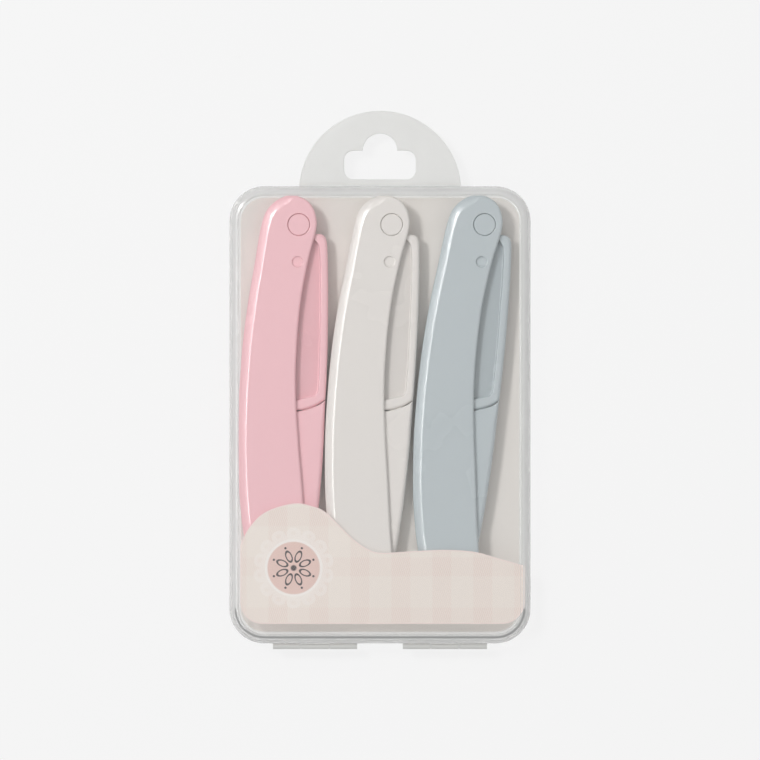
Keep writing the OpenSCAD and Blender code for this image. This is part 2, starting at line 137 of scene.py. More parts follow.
def length(name, description, millimetres):
    """Describes a size that a user may change."""
    return FloatProperty(name=name, description=description, unit="LENGTH", precision=5, min=0,
                         default=millimetres * MM)


def angle(name, description, degrees):
    """Describes an angle that a user may change."""
    return FloatProperty(name=name, description=description, subtype="ANGLE",
                         default=math.radians(degrees))


def share(name, description, value):
    """Describes a number from 0 to 1 that a user may change."""
    return FloatProperty(name=name, description=description, subtype="FACTOR", min=0, max=1,
                         default=value)


def colour(name, description, code):
    """Describes a colour that a user may change."""
    return FloatVectorProperty(name=name, description=description, subtype="COLOR", size=3, min=0,
                               max=1, default=linear(code))


class CaseSizes(bpy.types.PropertyGroup):
    """Sizes and finish of the clear case."""

    wall: length("Wall", "Thickness of the lid's side walls", 1.1)
    corner: length("Corner", "Radius of the case's corners", 8.75)
    lid_round: length("Lid edge", "Rounding of the lid's outer edge", 2.4)
    lid_inner_round: length("Lid inside", "Rounding of the lid's inner edge", 1.4)
    tray_round: length("Tray edge", "Rounding of the tray's outer edge", 0.9)
    tray_inner_round: length("Tray inside", "Rounding at the foot of the lip", 0.7)
    lip: length("Lip", "Thickness of the tray's inner lip", 0.75)
    lip_round: length("Lip edge", "Rounding of the lip's upper edges", 0.22)
    lip_gap: length("Lip gap", "Gap between the lip and the lid's wall", 0.1)
    seam: length("Seam", "Gap between tray and lid", 0.1)
    barrel: length("Barrel", "Radius of a hinge barrel", 0.7)
    barrel_gap: length("Barrel gap", "Running gap between the barrels of one hinge", 0.1)
    pin_gap: length("Pin gap", "Clearance of a hinge pin", 0.03)
    plastic: colour("Plastic", "Colour of the clear plastic", "#fdfdfc")
    wall_plastic: colour("Wall plastic", "Colour of the case's thicker walls", "#e8e8e7")
    hinge_plastic: colour("Hinge plastic", "Colour of the hinges", "#d3d3d0")
    roughness: share("Roughness", "Roughness of the clear plastic", 0.02)
    wall_roughness: share("Wall roughness", "Roughness of the walls", 0.1)
    wall_milk: share("Wall milkiness", "Part of the light that the walls scatter", 0.4)
    hinge_roughness: share("Hinge roughness", "Roughness of the hinges", 0.35)
    # Painted shade: a dark colour on one facet of the lid that stands in for the shade of the gap at the
    # hinge side
    painted_gap_shade: colour("Seam shade", "Colour of the shaded line at the hinge side", "#1e1e1e")


class TabSizes(bpy.types.PropertyGroup):
    """Sizes and finish of the hang tab."""

    sink: length("Sink", "Depth of the round's centre below the case's top edge", 1.4)
    foot_width: length("Foot width", "Width of each foot in the tray's wall", 8.7)
    foot_pitch: length("Foot pitch", "Distance between the middles of the feet", 26)
    foot_depth: length("Foot depth", "Depth of a foot in the tray's wall", 1.3)
    foot_gap: length("Foot gap", "Clearance of a foot in its socket", 0.05)
    hole_width: length("Hole width", "Width of the euro hole", 17.9)
    hole_height: length("Hole height", "Height of the hole's shoulders", 7.2)
    hole_corner: length("Hole corner", "Radius of the shoulders' corners", 2.3)
    hole_bump: length("Hole bump", "Radius of the bump over the hole's middle", 4.3)
    hole_rise: length("Hole rise", "Distance from the case's top edge to the hole", 1.75)
    edge: length("Edge", "Rounding of the tab's edges", 0.18)
    plastic: colour("Plastic", "Colour of the frosted plastic", "#f2f2f0")


class CardSizes(bpy.types.PropertyGroup):
    """Sizes and print of the two cards."""

    corner: length("Corner", "Radius of the front card's lower corners", 5.6)
    border: length("Border", "Width of the light line along the front card's edge", 0.3)
    paper: colour("Paper", "Colour of the front card", "#f4eae2")
    print: colour("Print", "Colour of the checks", "#e4c6be")
    border_paper: colour("Border paper", "Colour of the front card's edge", "#f7e6e1")
    backing: colour("Backing", "Colour of the backing card", "#ebe6e1")
    ink: colour("Ink", "Colour of the flower", "#463c3e")
    lace: colour("Lace", "Colour of the ring and the lace", "#f7f0ec")
    check_pitch: length("Check pitch", "Distance between two upright bands", 10.2)
    row_pitch: length("Row pitch", "Distance between two level bands", 12.5)
    band: length("Band", "Half width of a band", 2.3)
    twill: length("Twill", "Distance between two lines of the twill", 0.5)
    badge_radius: length("Badge", "Radius of the badge's disc", 6.5)
    show_through: share("Show-through", "Part of the light that passes the front card", 0.7)


class RazorSizes(bpy.types.PropertyGroup):
    """Sizes and finish of the razors."""

    back: length("Back", "Width of the grip's closed back", 3.2)
    slot: length("Slot", "Thickness of the slot in the grip", 3.8)
    left_round: length("Left edge", "Width of the rounding of the grip's left edge", 2.3)
    left_drop: length("Left drop", "Depth of the rounding of the grip's left edge", 1.05)
    left_bend: FloatProperty(name="Left bend", default=1.5, min=1, max=2,
                             description="From 1, a round left edge, to 2, a straight slope")
    right_round: length("Right edge", "Rounding of the grip's right edge", 0.6)
    groove: length("Groove", "Groove round the pivot's heads", 0.16)
    recess_round: length("Recess edge", "Rounding of the edge of a recess in the grip", 0.22)
    head_depth: length("Head depth", "Depth of the pivot's heads", 0.7)
    dimple: length("Dimple", "Radius of the dimple over the stop pin", 1.35)
    dimple_depth: length("Dimple depth", "Depth of the dimple", 0.5)
    arm_width: length("Arm width", "Width from the pivot to the arm's outer edge", 7.5)
    arm_length: length("Arm length", "Length from the pivot to the seam", 46.4)
    eye: length("Eye", "Radius of the arm's eye", 4)
    shaft: length("Shaft", "Radius of the pivot's shaft", 1.6)
    pivot_gap: length("Pivot gap", "Running clearance of the arm on its pivot", 0.06)
    arm_round: length("Arm edge", "Rounding of the arm's outer edge", 0.9)
    panel_depth: length("Panel depth", "Depth of the arm's recessed panel", 1.1)
    rim_round: length("Rim edge", "Rounding of the rim round the panel", 0.35)
    tongue: length("Tongue", "Thickness of the tongue that holds the blade", 1.8)
    tongue_gap: length("Tongue gap", "Gap between cap and tongue", 0.15)
    tongue_root: length("Tongue root", "Height that the tongue starts above the seam", 1.25)
    tongue_short: length("Tongue end", "Length that the blade runs on below the tongue", 0.9)
    blade_start: length("Blade start", "Distance from the seam to the blade", 1.1)
    blade_length: length("Blade length", "Length of the blade", 32)
    blade_out: length("Blade width", "Width that the blade stands out of the tongue", 3)
    cap_length: length("Cap length", "Length of the cap below the seam", 41.6)
    cap_gap: length("Cap gap", "Gap at the seam between arm and cap", 0.2)
    cap_round: length("Cap edge", "Rounding of the cap's outer edge", 1.1)
    fine_edge: length("Fine edge", "Rounding of small edges", 0.12)
    cap_turn: angle("Cap turn", "Angle between the cap's pull and the arm", 1.6)
    pink: colour("Pink", "Colour of the first razor", "#f8c5cc")
    white: colour("White", "Colour of the second razor", "#eae5e1")
    blue: colour("Blue", "Colour of the third razor", "#bec7cb")
    roughness: share("Roughness", "Roughness of the moulded plastic", 0.26)
    # Painted shade: the floor of the arm's recessed panel gets a darker, deeper copy of the razor's colour,
    # standing in for the shade in the recess
    thin_depth: FloatProperty(name="Thin depth", default=1.1, min=1,
                              description="Power that deepens the colour where the plastic is thin")
    thin_shade: share("Thin shade", "Part of the light kept where the plastic is thin", 0.89)


class StageSizes(bpy.types.PropertyGroup):
    """Floor, light and camera."""

    view_width: length("View width", "Width that the picture shows", 189.7)
    view_height: length("View height", "Height of the plane that the picture is scaled to", 4.65)
    distance: length("Distance", "Distance of the camera", 1500)
    lens_sensor: length("Sensor", "Width of the camera's sensor", 36)
    floor_size: length("Floor", "Half width of the floor", 4000)
    key_distance: length("Key distance", "Distance of the main light", 900)
    key_size: length("Key size", "Width of the main light", 160)
    key_turn: angle("Key turn", "Direction of the main light, from +X anticlockwise", 145)
    key_rise: angle("Key rise", "Height of the main light above the horizon", 55)
    key_power: FloatProperty(name="Key power", description="Power of the main light", default=2.95)
    strip_width: length("Strip width", "Width of the strip light", 70)
    strip_length: length("Strip length", "Length of the strip light", 900)
    strip_turn: angle("Strip turn", "Direction of the strip light, from +X anticlockwise", 185)
    strip_rise: angle("Strip rise", "Height of the strip light above the horizon", 62)
    strip_power: FloatProperty(name="Strip power", description="Power of the strip light", default=2.5)
    fill: FloatProperty(name="Fill", description="Brightness of the surrounding light", default=0.72)
    floor_glow: FloatProperty(name="Floor glow", description="Own light of the floor", default=0.86)
    background: colour("Background", "Colour of floor and background", "#f7f7f7")


class Place(NamedTuple):
    """Where one razor lies: its colour, and its pieces' places in the frame."""

    colour: str
    grip: Matrix
    arm: Matrix


def middle(node):
    """Gives the middle of a CAD node's box."""
    low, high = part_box(node)
    return (low + high) / 2


def joint(name):
    """Gives a joint of the frame by its name."""
    return next(j for j in frame["joints"] if j["name"] == name)


def razor_places(sizes):
    """Works out where each razor lies from its pins and from the way that its cap is pulled."""
    places = []
    upright = middle("pink_stop_pin") - middle("pink_pivot_pin")
    for name in COLOURS:
        pivot = middle(name + "_pivot_pin")
        along = middle(name + "_stop_pin") - pivot
        lean = math.atan2(along.y, along.x) - math.atan2(upright.y, upright.x)
        pull = joint(name + "_cap_slide")["axis"]
        arm_lean = math.atan2(pull[1], pull[0]) + math.pi / 2 + sizes.cap_turn
        at_pivot = Matrix.Translation(pivot)
        places.append(Place(name, at_pivot @ Matrix.Rotation(lean, 4, "Z"),
                            at_pivot @ Matrix.Rotation(arm_lean, 4, "Z")))
    return places


def bend(a, b, c, d, t):
    """Gives a point between b and c on a smooth curve through four points."""
    return (2 * b + (c - a) * t + (2 * a - 5 * b + 4 * c - d) * t * t
            + (3 * b - a - 3 * c + d) * t * t * t) / 2


def smooth_loop(points):
    """Gives the points of a smooth closed curve through the given points."""
    count = len(points)
    return [bend(points[i - 1], points[i], points[(i + 1) % count], points[(i + 2) % count],
                 k / SMOOTH_STEPS)
            for i in range(count) for k in range(SMOOTH_STEPS)]


def smooth_path(points):
    """Gives the points of a smooth open curve through the given points."""
    last = len(points) - 1
    curve = [bend(points[max(i - 1, 0)], points[i], points[i + 1], points[min(i + 2, last)],
                  k / SMOOTH_STEPS)
             for i in range(last) for k in range(SMOOTH_STEPS)]
    return curve + [points[last]]


def scaled(shares, width, height, drop=0.0):
    """Turns shares of a width and a height into points."""
    return [Vector((x * width, y * height - drop)) for x, y in shares]


def loose_points(points):
    """Drops points that lie on the one before them."""
    return [p for i, p in enumerate(points) if (p - points[i - 1]).length > AIR]


def flat_face(bm, outline, height):
    """Makes one flat face from an outline."""
    return bm.faces.new([bm.verts.new((p[0], p[1], height)) for p in outline])


def face_outwards(bm):
    """Turns the faces of closed solids outwards."""
    bmesh.ops.recalc_face_normals(bm, faces=bm.faces)


def extrude(bm, face, rise):
    """Extrudes a face straight up or down, and gives the face at the new end. The face itself stays
    only where it closes the solid."""
    inner = any(len(edge.link_faces) > 1 for edge in face.edges)
    made = bmesh.ops.extrude_face_region(bm, geom=[face])["geom"]
    moved = [part for part in made if isinstance(part, bmesh.types.BMVert)]
    bmesh.ops.translate(bm, verts=moved, vec=(0, 0, rise))
    if inner:
        bmesh.ops.delete(bm, geom=[face], context="FACES_ONLY")
    return next(part for part in made if isinstance(part, bmesh.types.BMFace))


def prism(bm, outline, low, high):
    """Makes a closed straight solid over an outline."""
    extrude(bm, flat_face(bm, loose_points(outline), low), high - low)
    face_outwards(bm)


def outward_at(points, i):
    """Gives the direction out of a clockwise outline at one of its points, longer at a sharp corner."""
    before = (points[i] - points[i - 1]).normalized()
    after = (points[(i + 1) % len(points)] - points[i]).normalized()
    along = (before + after).normalized()
    across = Vector((-along.y, along.x))
    return across / max(along.dot(after), MITER_LIMIT)


def stacked(bm, outline, rings):
    """Makes a closed solid of rings over a clockwise outline. Each ring gives, for a direction out of
    the outline, how far it lies outside the outline and at what height."""
    points = loose_points(outline)
    outward = [outward_at(points, i) for i in range(len(points))]
    number = bm.verts.layers.int.new("number")
    face = flat_face(bm, points, 0)
    for i, vert in enumerate(face.verts):
        vert[number] = i
    for k, ring in enumerate(rings):
        if k > 0:
            face = extrude(bm, face, 0)
        for vert in face.verts:
            i = vert[number]
            out, height = ring(outward[i])
            flat = points[i] + outward[i] * out
            vert.co = (flat.x, flat.y, height)
    face_outwards(bm)


def quarter(steps):
    """Gives the turns of a rounding, from flat to upright."""
    return [math.pi / 2 * k / steps for k in range(steps + 1)]


def crowned(bm, outline, half, rounding_of, steps):
    """Makes a closed plate over a clockwise outline, its two long edges rounded; rounding_of gives the
    rounding's width, depth and bend for a direction out of the outline. A bend of 1 is round, and one
    of 2 a straight slope."""
    def edge(turn, side):
        """Gives the ring where the rounding has a turn."""
        def ring(outward):
            width, drop, bent = rounding_of(outward)
            down = max(math.cos(turn), 0) ** bent
            return width * (math.sin(turn) ** bent - 1), side * (half - drop * (1 - down))
        return ring

    turns = quarter(steps)
    stacked(bm, outline, [edge(t, -1) for t in turns] + [edge(t, 1) for t in reversed(turns)])


def soft_recess(bm, outline, side, floor, face, rounding, steps):
    """Makes the shape that cuts a recess with a rounded rim and a rounded floor into the upper or the
    lower face of a plate; side is 1 or -1, and floor and face are heights above the plate's middle."""
    turns = quarter(steps)
    heights = [(rounding * (math.sin(t) - 1), floor + rounding * (1 - math.cos(t))) for t in turns]
    heights += [(rounding * (1 - math.cos(t)), face - rounding * (1 - math.sin(t))) for t in turns]
    heights.append((rounding, face + CUT))
    stacked(bm, outline, [lambda outward, out=out, height=height: (out, side * height)
                          for out, height in heights])


def disc(bm, radius, low, high, at=(0, 0)):
    """Makes a closed upright cylinder."""
    place = Matrix.Translation((at[0], at[1], (low + high) / 2))
    bmesh.ops.create_cone(bm, cap_ends=True, segments=ROUND_SIDES, radius1=radius, radius2=radius,
                          depth=high - low, matrix=place)


def block(bm, low, high):
    """Makes a closed box between two corners."""
    low, high = Vector(low), Vector(high)
    place = Matrix.Translation((low + high) / 2) @ Matrix.Diagonal((*(high - low), 1))
    bmesh.ops.create_cube(bm, size=1, matrix=place)


def round_edges(bm, edges, width, steps):
    """Rounds edges by a width."""
    bmesh.ops.bevel(bm, geom=list(edges), offset=width, offset_type="OFFSET", segments=steps,
                    profile=0.5, affect="EDGES", material=-1)


def round_corners(bm, corners, radius):
    """Rounds corners of a flat face, and gives the face."""
    bmesh.ops.bevel(bm, geom=list(corners), offset=radius, offset_type="OFFSET",
                    segments=CORNER_STEPS, profile=0.5, affect="VERTICES", material=-1)
    bm.faces.ensure_lookup_table()
    return bm.faces[-1]


def round_rectangle(bm, low, high, radius, height):
    """Makes a flat face with round corners."""
    corners = ((low[0], low[1]), (high[0], low[1]), (high[0], high[1]), (low[0], high[1]))
    return round_corners(bm, flat_face(bm, corners, height).verts, radius)


def new_piece(name, bm, *materials):
    """Makes an object from a bmesh."""
    mesh = bpy.data.meshes.new(name)
    bm.to_mesh(mesh)
    bm.free()
    for material in materials:
        mesh.materials.append(material)
    piece = bpy.data.objects.new(name, mesh)
    bpy.context.scene.collection.objects.link(piece)
    return piece


def settle(piece):
    """Applies a piece's modifiers to its mesh."""
    bpy.context.view_layer.update()
    graph = bpy.context.evaluated_depsgraph_get()
    mesh = bpy.data.meshes.new_from_object(piece.evaluated_get(graph))
    piece.modifiers.clear()
    piece.data = mesh


def combine(piece, bm, operation="DIFFERENCE"):
    """Cuts a shape out of a piece, or joins it on."""
    tool = new_piece(piece.name + ".tool", bm)
    modifier = piece.modifiers.new("combine", "BOOLEAN")
    modifier.object = tool
    modifier.operation = operation
    modifier.solver = "EXACT"
    settle(piece)
    bpy.data.objects.remove(tool)


def carve(piece, make, *details, operation="DIFFERENCE"):
    """Makes a shape with one of the functions above, and cuts it out of a piece or joins it on."""
    bm = bmesh.new()
    make(bm, *details)
    combine(piece, bm, operation)


def soften(piece, width, steps):
    """Rounds a piece's sharp edges."""
    modifier = piece.modifiers.new("soften", "BEVEL")
    modifier.width = width
    modifier.segments = steps
    modifier.limit_method = "ANGLE"
    modifier.angle_limit = math.radians(SOFTEN_ANGLE)
    settle(piece)


def shade(piece):
    """Shades a piece smooth, with its flat faces flat and its sharp edges sharp."""
    piece.data.shade_smooth()
    piece.data.set_sharp_from_angle(angle=math.radians(SHARP_ANGLE))
    modifier = piece.modifiers.new("flat_faces", "WEIGHTED_NORMAL")
    modifier.keep_sharp = True


def hand_over(piece, body, slot, *nodes):
    """Shades a finished piece, and lets it ride on its body and stand for its CAD nodes."""
    shade(piece)
    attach(piece, body)
    if nodes:
        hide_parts(*nodes)


def dress(node, material):
    """Gives a CAD node that stays visible its one material."""
    materials = frame["nodes"][node].data.materials
    materials.clear()
    materials.append(material)


def add(tree, kind, inputs=None, **settings):
    """Adds a node, and fills its inputs with numbers or with other nodes' outputs."""
    node = tree.nodes.new(kind)
    for name, value in settings.items():
        setattr(node, name, value)
    for name, value in (inputs or {}).items():
        if isinstance(value, bpy.types.NodeSocket):
            tree.links.new(value, node.inputs[name])
        else:
            node.inputs[name].default_value = value
    return node


def maths(tree, operation, first, second=0.0, third=0.0):
    """Adds a Math node and gives its output."""
    return add(tree, "ShaderNodeMath", {0: first, 1: second, 2: third}, operation=operation).outputs[0]


def between(tree, value, low, high):
    """Gives 0 below low, 1 above high and a soft step between them."""
    return add(tree, "ShaderNodeMapRange", {"Value": value, "From Min": low, "From Max": high},
               interpolation_type="SMOOTHSTEP").outputs["Result"]


def blend(tree, amount, first, second):
    """Mixes two colours."""
    node = add(tree, "ShaderNodeMix", {"Factor": amount}, data_type="RGBA")
    for name, value in (("A", first), ("B", second)):
        socket = next(s for s in node.inputs if s.name == name and s.type == "RGBA")
        if isinstance(value, bpy.types.NodeSocket):
            tree.links.new(value, socket)
        else:
            socket.default_value = value
    return next(s for s in node.outputs if s.type == "RGBA")


def noise(tree, vector, scale, detail=2.0, roughness=0.5):
    """Adds a noise texture and gives its value."""
    inputs = {"Vector": vector, "Scale": scale, "Detail": detail, "Roughness": roughness}
    return add(tree, "ShaderNodeTexNoise", inputs).outputs[0]


def solid(rgb):
    """Gives a colour with full opacity."""
    return (*rgb, 1.0)


FLOAT = "NodeSocketFloat"
VECTOR = "NodeSocketVector"
COLOUR = "NodeSocketColor"


def new_group(name, inputs, outputs):
    """Makes an empty node group with its named inputs and outputs."""
    tree = bpy.data.node_groups.new(name, "ShaderNodeTree")
    for label, kind in inputs:
        tree.interface.new_socket(label, in_out="INPUT", socket_type=kind)
    for label, kind in outputs:
        tree.interface.new_socket(label, in_out="OUTPUT", socket_type=kind)
    return tree, tree.nodes.new("NodeGroupInput").outputs, tree.nodes.new("NodeGroupOutput").inputs


def grain_group():
    """Grain of moulded plastic: a soft change of tone and a fine unevenness."""
    name = "moulded_grain"
    if name in bpy.data.node_groups:
        return bpy.data.node_groups[name]
    tree, given, out = new_group(
        name,
        (("Vector", VECTOR), ("Colour", COLOUR), ("Tone", FLOAT), ("Roughness", FLOAT)),
        (("Colour", COLOUR), ("Roughness", FLOAT), ("Height", FLOAT)),
    )
    clouds = noise(tree, given["Vector"], scale=45.0, detail=3.0)
    specks = noise(tree, given["Vector"], scale=3200.0)
    darker = add(tree, "ShaderNodeHueSaturation",
                 {"Color": given["Colour"], "Saturation": 1.06, "Value": 0.9}).outputs["Color"]
    mixed = maths(tree, "MULTIPLY", given["Tone"], clouds)
    tree.links.new(blend(tree, mixed, given["Colour"], darker), out["Colour"])
    spread, cloud_height = 0.12, 0.35
    change = maths(tree, "MULTIPLY_ADD", clouds, spread, -spread / 2)
    tree.links.new(maths(tree, "ADD", given["Roughness"], change), out["Roughness"])
    tree.links.new(maths(tree, "MULTIPLY_ADD", clouds, cloud_height, specks), out["Height"])
    return tree


def scratch_group():
    """Fine handling scratches in two directions."""
    name = "fine_scratches"
    if name in bpy.data.node_groups:
        return bpy.data.node_groups[name]
    tree, given, out = new_group(name, (("Vector", VECTOR), ("Amount", FLOAT)), (("Mask", FLOAT),))
    lines = None
    for turn, stretch in ((35, 14.0), (-62, 22.0)):
        turned = add(tree, "ShaderNodeMapping",
                     {"Vector": given["Vector"], "Rotation": (0, 0, math.radians(turn)),
                      "Scale": (1.0, stretch, 1.0)}).outputs["Vector"]
        streaks = noise(tree, turned, scale=110.0, detail=3.0, roughness=0.65)
        streaks = between(tree, streaks, low=0.66, high=0.74)
        lines = streaks if lines is None else maths(tree, "MAXIMUM", lines, streaks)
    patches = noise(tree, given["Vector"], scale=38.0, detail=1.0)
    patches = between(tree, patches, low=0.5, high=0.68)
    worn = maths(tree, "MULTIPLY", lines, patches)
    tree.links.new(maths(tree, "MULTIPLY", worn, given["Amount"]), out["Mask"])
    return tree


def paper_group():
    """Fibres of card: a mottled tone and a fine unevenness."""
    name = "card_fibres"
    if name in bpy.data.node_groups:
        return bpy.data.node_groups[name]
    tree, given, out = new_group(name, (("Vector", VECTOR), ("Colour", COLOUR)),
                                 (("Colour", COLOUR), ("Height", FLOAT)))
    fibres = noise(tree, given["Vector"], scale=1400.0, detail=4.0, roughness=0.7)
    clouds = noise(tree, given["Vector"], scale=60.0)
    darker = add(tree, "ShaderNodeHueSaturation",
                 {"Color": given["Colour"], "Value": 0.9}).outputs["Color"]
    part = 0.4
    mixed = maths(tree, "MULTIPLY_ADD", fibres, part, maths(tree, "MULTIPLY", clouds, part))
    tree.links.new(blend(tree, mixed, given["Colour"], darker), out["Colour"])
    tree.links.new(fibres, out["Height"])
    return tree


def gingham_group():
    """Woven checks: upright and level bands, each of fine diagonal lines."""
    name = "gingham_checks"
    if name in bpy.data.node_groups:
        return bpy.data.node_groups[name]
    inputs = (("Vector", VECTOR), ("Column pitch", FLOAT), ("Row pitch", FLOAT), ("Band", FLOAT),
              ("Twill", FLOAT))
    tree, given, out = new_group(name, inputs, (("Mask", FLOAT),))
    split = add(tree, "ShaderNodeSeparateXYZ", {"Vector": given["Vector"]}).outputs
    soft_edge, twill_slope, twill_depth, row_strength = 0.12 * MM, 0.32, 0.14, 0.8
    soft = maths(tree, "ADD", given["Band"], soft_edge)

    def bands(value, pitch):
        """Gives 1 on the bands and 0 between them."""
        folded = maths(tree, "PINGPONG", value, maths(tree, "MULTIPLY", pitch, 0.5))
        return maths(tree, "SUBTRACT", 1.0, between(tree, folded, given["Band"], soft))

    columns = bands(split["X"], given["Column pitch"])
    rows = bands(split["Y"], given["Row pitch"])
    slope = maths(tree, "MULTIPLY_ADD", split["Y"], twill_slope, split["X"])
    wave = maths(tree, "SINE", maths(tree, "DIVIDE", maths(tree, "MULTIPLY", slope, 2 * math.pi),
                                     given["Twill"]))
    twill = maths(tree, "MULTIPLY_ADD", wave, twill_depth, twill_depth)
    columns = maths(tree, "MULTIPLY", columns, twill)
    rows = maths(tree, "MULTIPLY", rows, maths(tree, "MULTIPLY", twill, row_strength))
    tree.links.new(maths(tree, "ADD", columns, rows), out["Mask"])
    return tree


def badge_group():
    """A round badge: a disc with an outlined flower, a ring and a border of lace scallops."""
    name = "flower_badge"
    if name in bpy.data.node_groups:
        return bpy.data.node_groups[name]
    petals, scallops = 8, 14
    tree, given, out = new_group(name, (("Vector", VECTOR), ("Radius", FLOAT)),
                                 (("Disc", FLOAT), ("Lace", FLOAT), ("Ink", FLOAT)))
    split = add(tree, "ShaderNodeSeparateXYZ", {"Vector": given["Vector"]}).outputs
    x = maths(tree, "DIVIDE", split["X"], given["Radius"])
    y = maths(tree, "DIVIDE", split["Y"], given["Radius"])

    def reach(u, v):
        """Gives how far a point lies from the middle."""
        squares = [maths(tree, "MULTIPLY", part, part) for part in (u, v)]
        return maths(tree, "SQRT", maths(tree, "ADD", *squares))

    far = reach(x, y)
    around = maths(tree, "ARCTAN2", y, x)

    def repeated(count):
        """Folds the plane into count equal wedges, and gives the place along and across one."""
        step = 2 * math.pi / count
        turn = maths(tree, "SUBTRACT", maths(tree, "WRAP", around, step, 0.0), step / 2)
        return maths(tree, "MULTIPLY", far, maths(tree, "COSINE", turn)), maths(
            tree, "MULTIPLY", far, maths(tree, "SINE", turn))

    def away(along, across, centre, long, wide):
        """Gives the distance from an ellipse's centre, in its own radii."""
        u = maths(tree, "DIVIDE", maths(tree, "SUBTRACT", along, centre), long)
        v = maths(tree, "DIVIDE", across, wide)
        return reach(u, v)

    def inside(value, edge=1.0):
        """Gives 1 below an edge and 0 above it, with a soft step."""
        soft = 0.03
        return maths(tree, "SUBTRACT", 1.0, between(tree, value, edge - soft, edge + soft))

    along, across = repeated(petals)
    petal = away(along, across, centre=0.47, long=0.25, wide=0.13)
    outline = maths(tree, "SUBTRACT", inside(petal), inside(petal, edge=0.66))
    seeds = inside(away(along, across, centre=0.82, long=0.045, wide=0.045))
    ink = maths(tree, "MAXIMUM", maths(tree, "MAXIMUM", outline, seeds), inside(far, edge=0.11))
    along, across = repeated(scallops)
    scallop = inside(away(along, across, centre=1.33, long=0.22, wide=0.27))
    eyelet = inside(away(along, across, centre=1.34, long=0.08, wide=0.1))
    lace_strength, eyelet_strength = 0.45, 0.3
    border = maths(tree, "MULTIPLY", maths(tree, "MAXIMUM", scallop, inside(far, edge=1.28)),
                   maths(tree, "SUBTRACT", lace_strength, maths(tree, "MULTIPLY", eyelet, eyelet_strength)))
    border = maths(tree, "MAXIMUM", border, inside(far, edge=1.115))
    inner = inside(far)
    tree.links.new(inner, out["Disc"])
    tree.links.new(maths(tree, "MULTIPLY", border, maths(tree, "SUBTRACT", 1.0, inner)), out["Lace"])
    tree.links.new(ink, out["Ink"])
    return tree


def new_material(name, **constants):
    """Makes a material with one Principled shader, and gives its tree, shader and coordinates."""
    material = bpy.data.materials.new(name)
    material.use_nodes = True
    tree = material.node_tree
    shader = next(n for n in tree.nodes if n.type == "BSDF_PRINCIPLED")
    for label, value in constants.items():
        shader.inputs[label.replace("_", " ")].default_value = value
    place = add(tree, "ShaderNodeTexCoord").outputs["Object"]
    return material, tree, shader, place


def use_group(tree, made, inputs):
    """Places a node group in a material."""
    return add(tree, "ShaderNodeGroup", inputs, node_tree=made).outputs


def bump(tree, shader, height, strength, distance):
    """Feeds a height to a shader as an unevenness."""
    node = add(tree, "ShaderNodeBump", {"Strength": strength, "Distance": distance, "Height": height})
    tree.links.new(node.outputs["Normal"], shader.inputs["Normal"])


def grained(tree, shader, place, rgb, tone, roughness, strength, distance):
    """Gives a shader its colour and roughness with the grain of moulded plastic."""
    grain = use_group(tree, grain_group(), {"Vector": place, "Colour": solid(rgb), "Tone": tone,
                                            "Roughness": roughness})
    tree.links.new(grain["Colour"], shader.inputs["Base Color"])
    tree.links.new(grain["Roughness"], shader.inputs["Roughness"])
    bump(tree, shader, grain["Height"], strength, distance)


def let_light_through(tree, shader, amount, tint=1.0):
    """Lets a part of the soft light pass straight through, so that the shadow is paler."""
    seen = next(n for n in tree.nodes if n.type == "OUTPUT_MATERIAL").inputs["Surface"]
    ray = add(tree, "ShaderNodeLightPath").outputs
    soft_ray = maths(tree, "MAXIMUM", ray["Is Shadow Ray"], ray["Is Diffuse Ray"])
    passing = maths(tree, "MULTIPLY", soft_ray, amount)
    open_air = add(tree, "ShaderNodeBsdfTransparent", {"Color": (tint, tint, tint, 1)}).outputs[0]
    mixed = add(tree, "ShaderNodeMixShader", {0: passing, 1: shader.outputs[0], 2: open_air})
    tree.links.new(mixed.outputs[0], seen)


def moulded_plastic(name, rgb, roughness):
    """Satin moulded plastic in one colour."""
    name = "satin_" + name
    if name in bpy.data.materials:
        return bpy.data.materials[name]
    material, tree, shader, place = new_material(name, IOR=1.5, Coat_Weight=0.5, Coat_Roughness=0.07)
    grained(tree, shader, place, rgb, tone=0.35, roughness=roughness, strength=0.12, distance=0.02 * MM)
    return material


def clear_plastic(name, rgb, roughness, scratches, milk=0.0):
    """Clear or milky plastic with a few fine scratches."""
    material, tree, shader, place = new_material(name, Base_Color=solid(rgb), IOR=1.49,
                                                 Transmission_Weight=1.0 - milk)
    mask = use_group(tree, scratch_group(), {"Vector": place, "Amount": scratches})["Mask"]
    scratch_roughness = 0.35
    tree.links.new(maths(tree, "MULTIPLY_ADD", mask, scratch_roughness, roughness),
                   shader.inputs["Roughness"])
    bump(tree, shader, mask, strength=0.15, distance=0.02 * MM)
    let_light_through(tree, shader, amount=1.0, tint=0.97)
    return material


def frosted_plastic(name, rgb, clearness):
    """Milky plastic with an even fine grain."""
    material, tree, shader, place = new_material(name, IOR=1.49, Transmission_Weight=clearness)
    grained(tree, shader, place, rgb, tone=0.25, roughness=0.5, strength=0.2, distance=0.03 * MM)
    return material


def plain_card(name, rgb):
    """Uncoated card."""
    material, tree, shader, place = new_material(name, IOR=1.4, Roughness=0.75)
    paper = use_group(tree, paper_group(), {"Vector": place, "Colour": solid(rgb)})
    tree.links.new(paper["Colour"], shader.inputs["Base Color"])
    bump(tree, shader, paper["Height"], strength=0.25, distance=0.03 * MM)
    return material


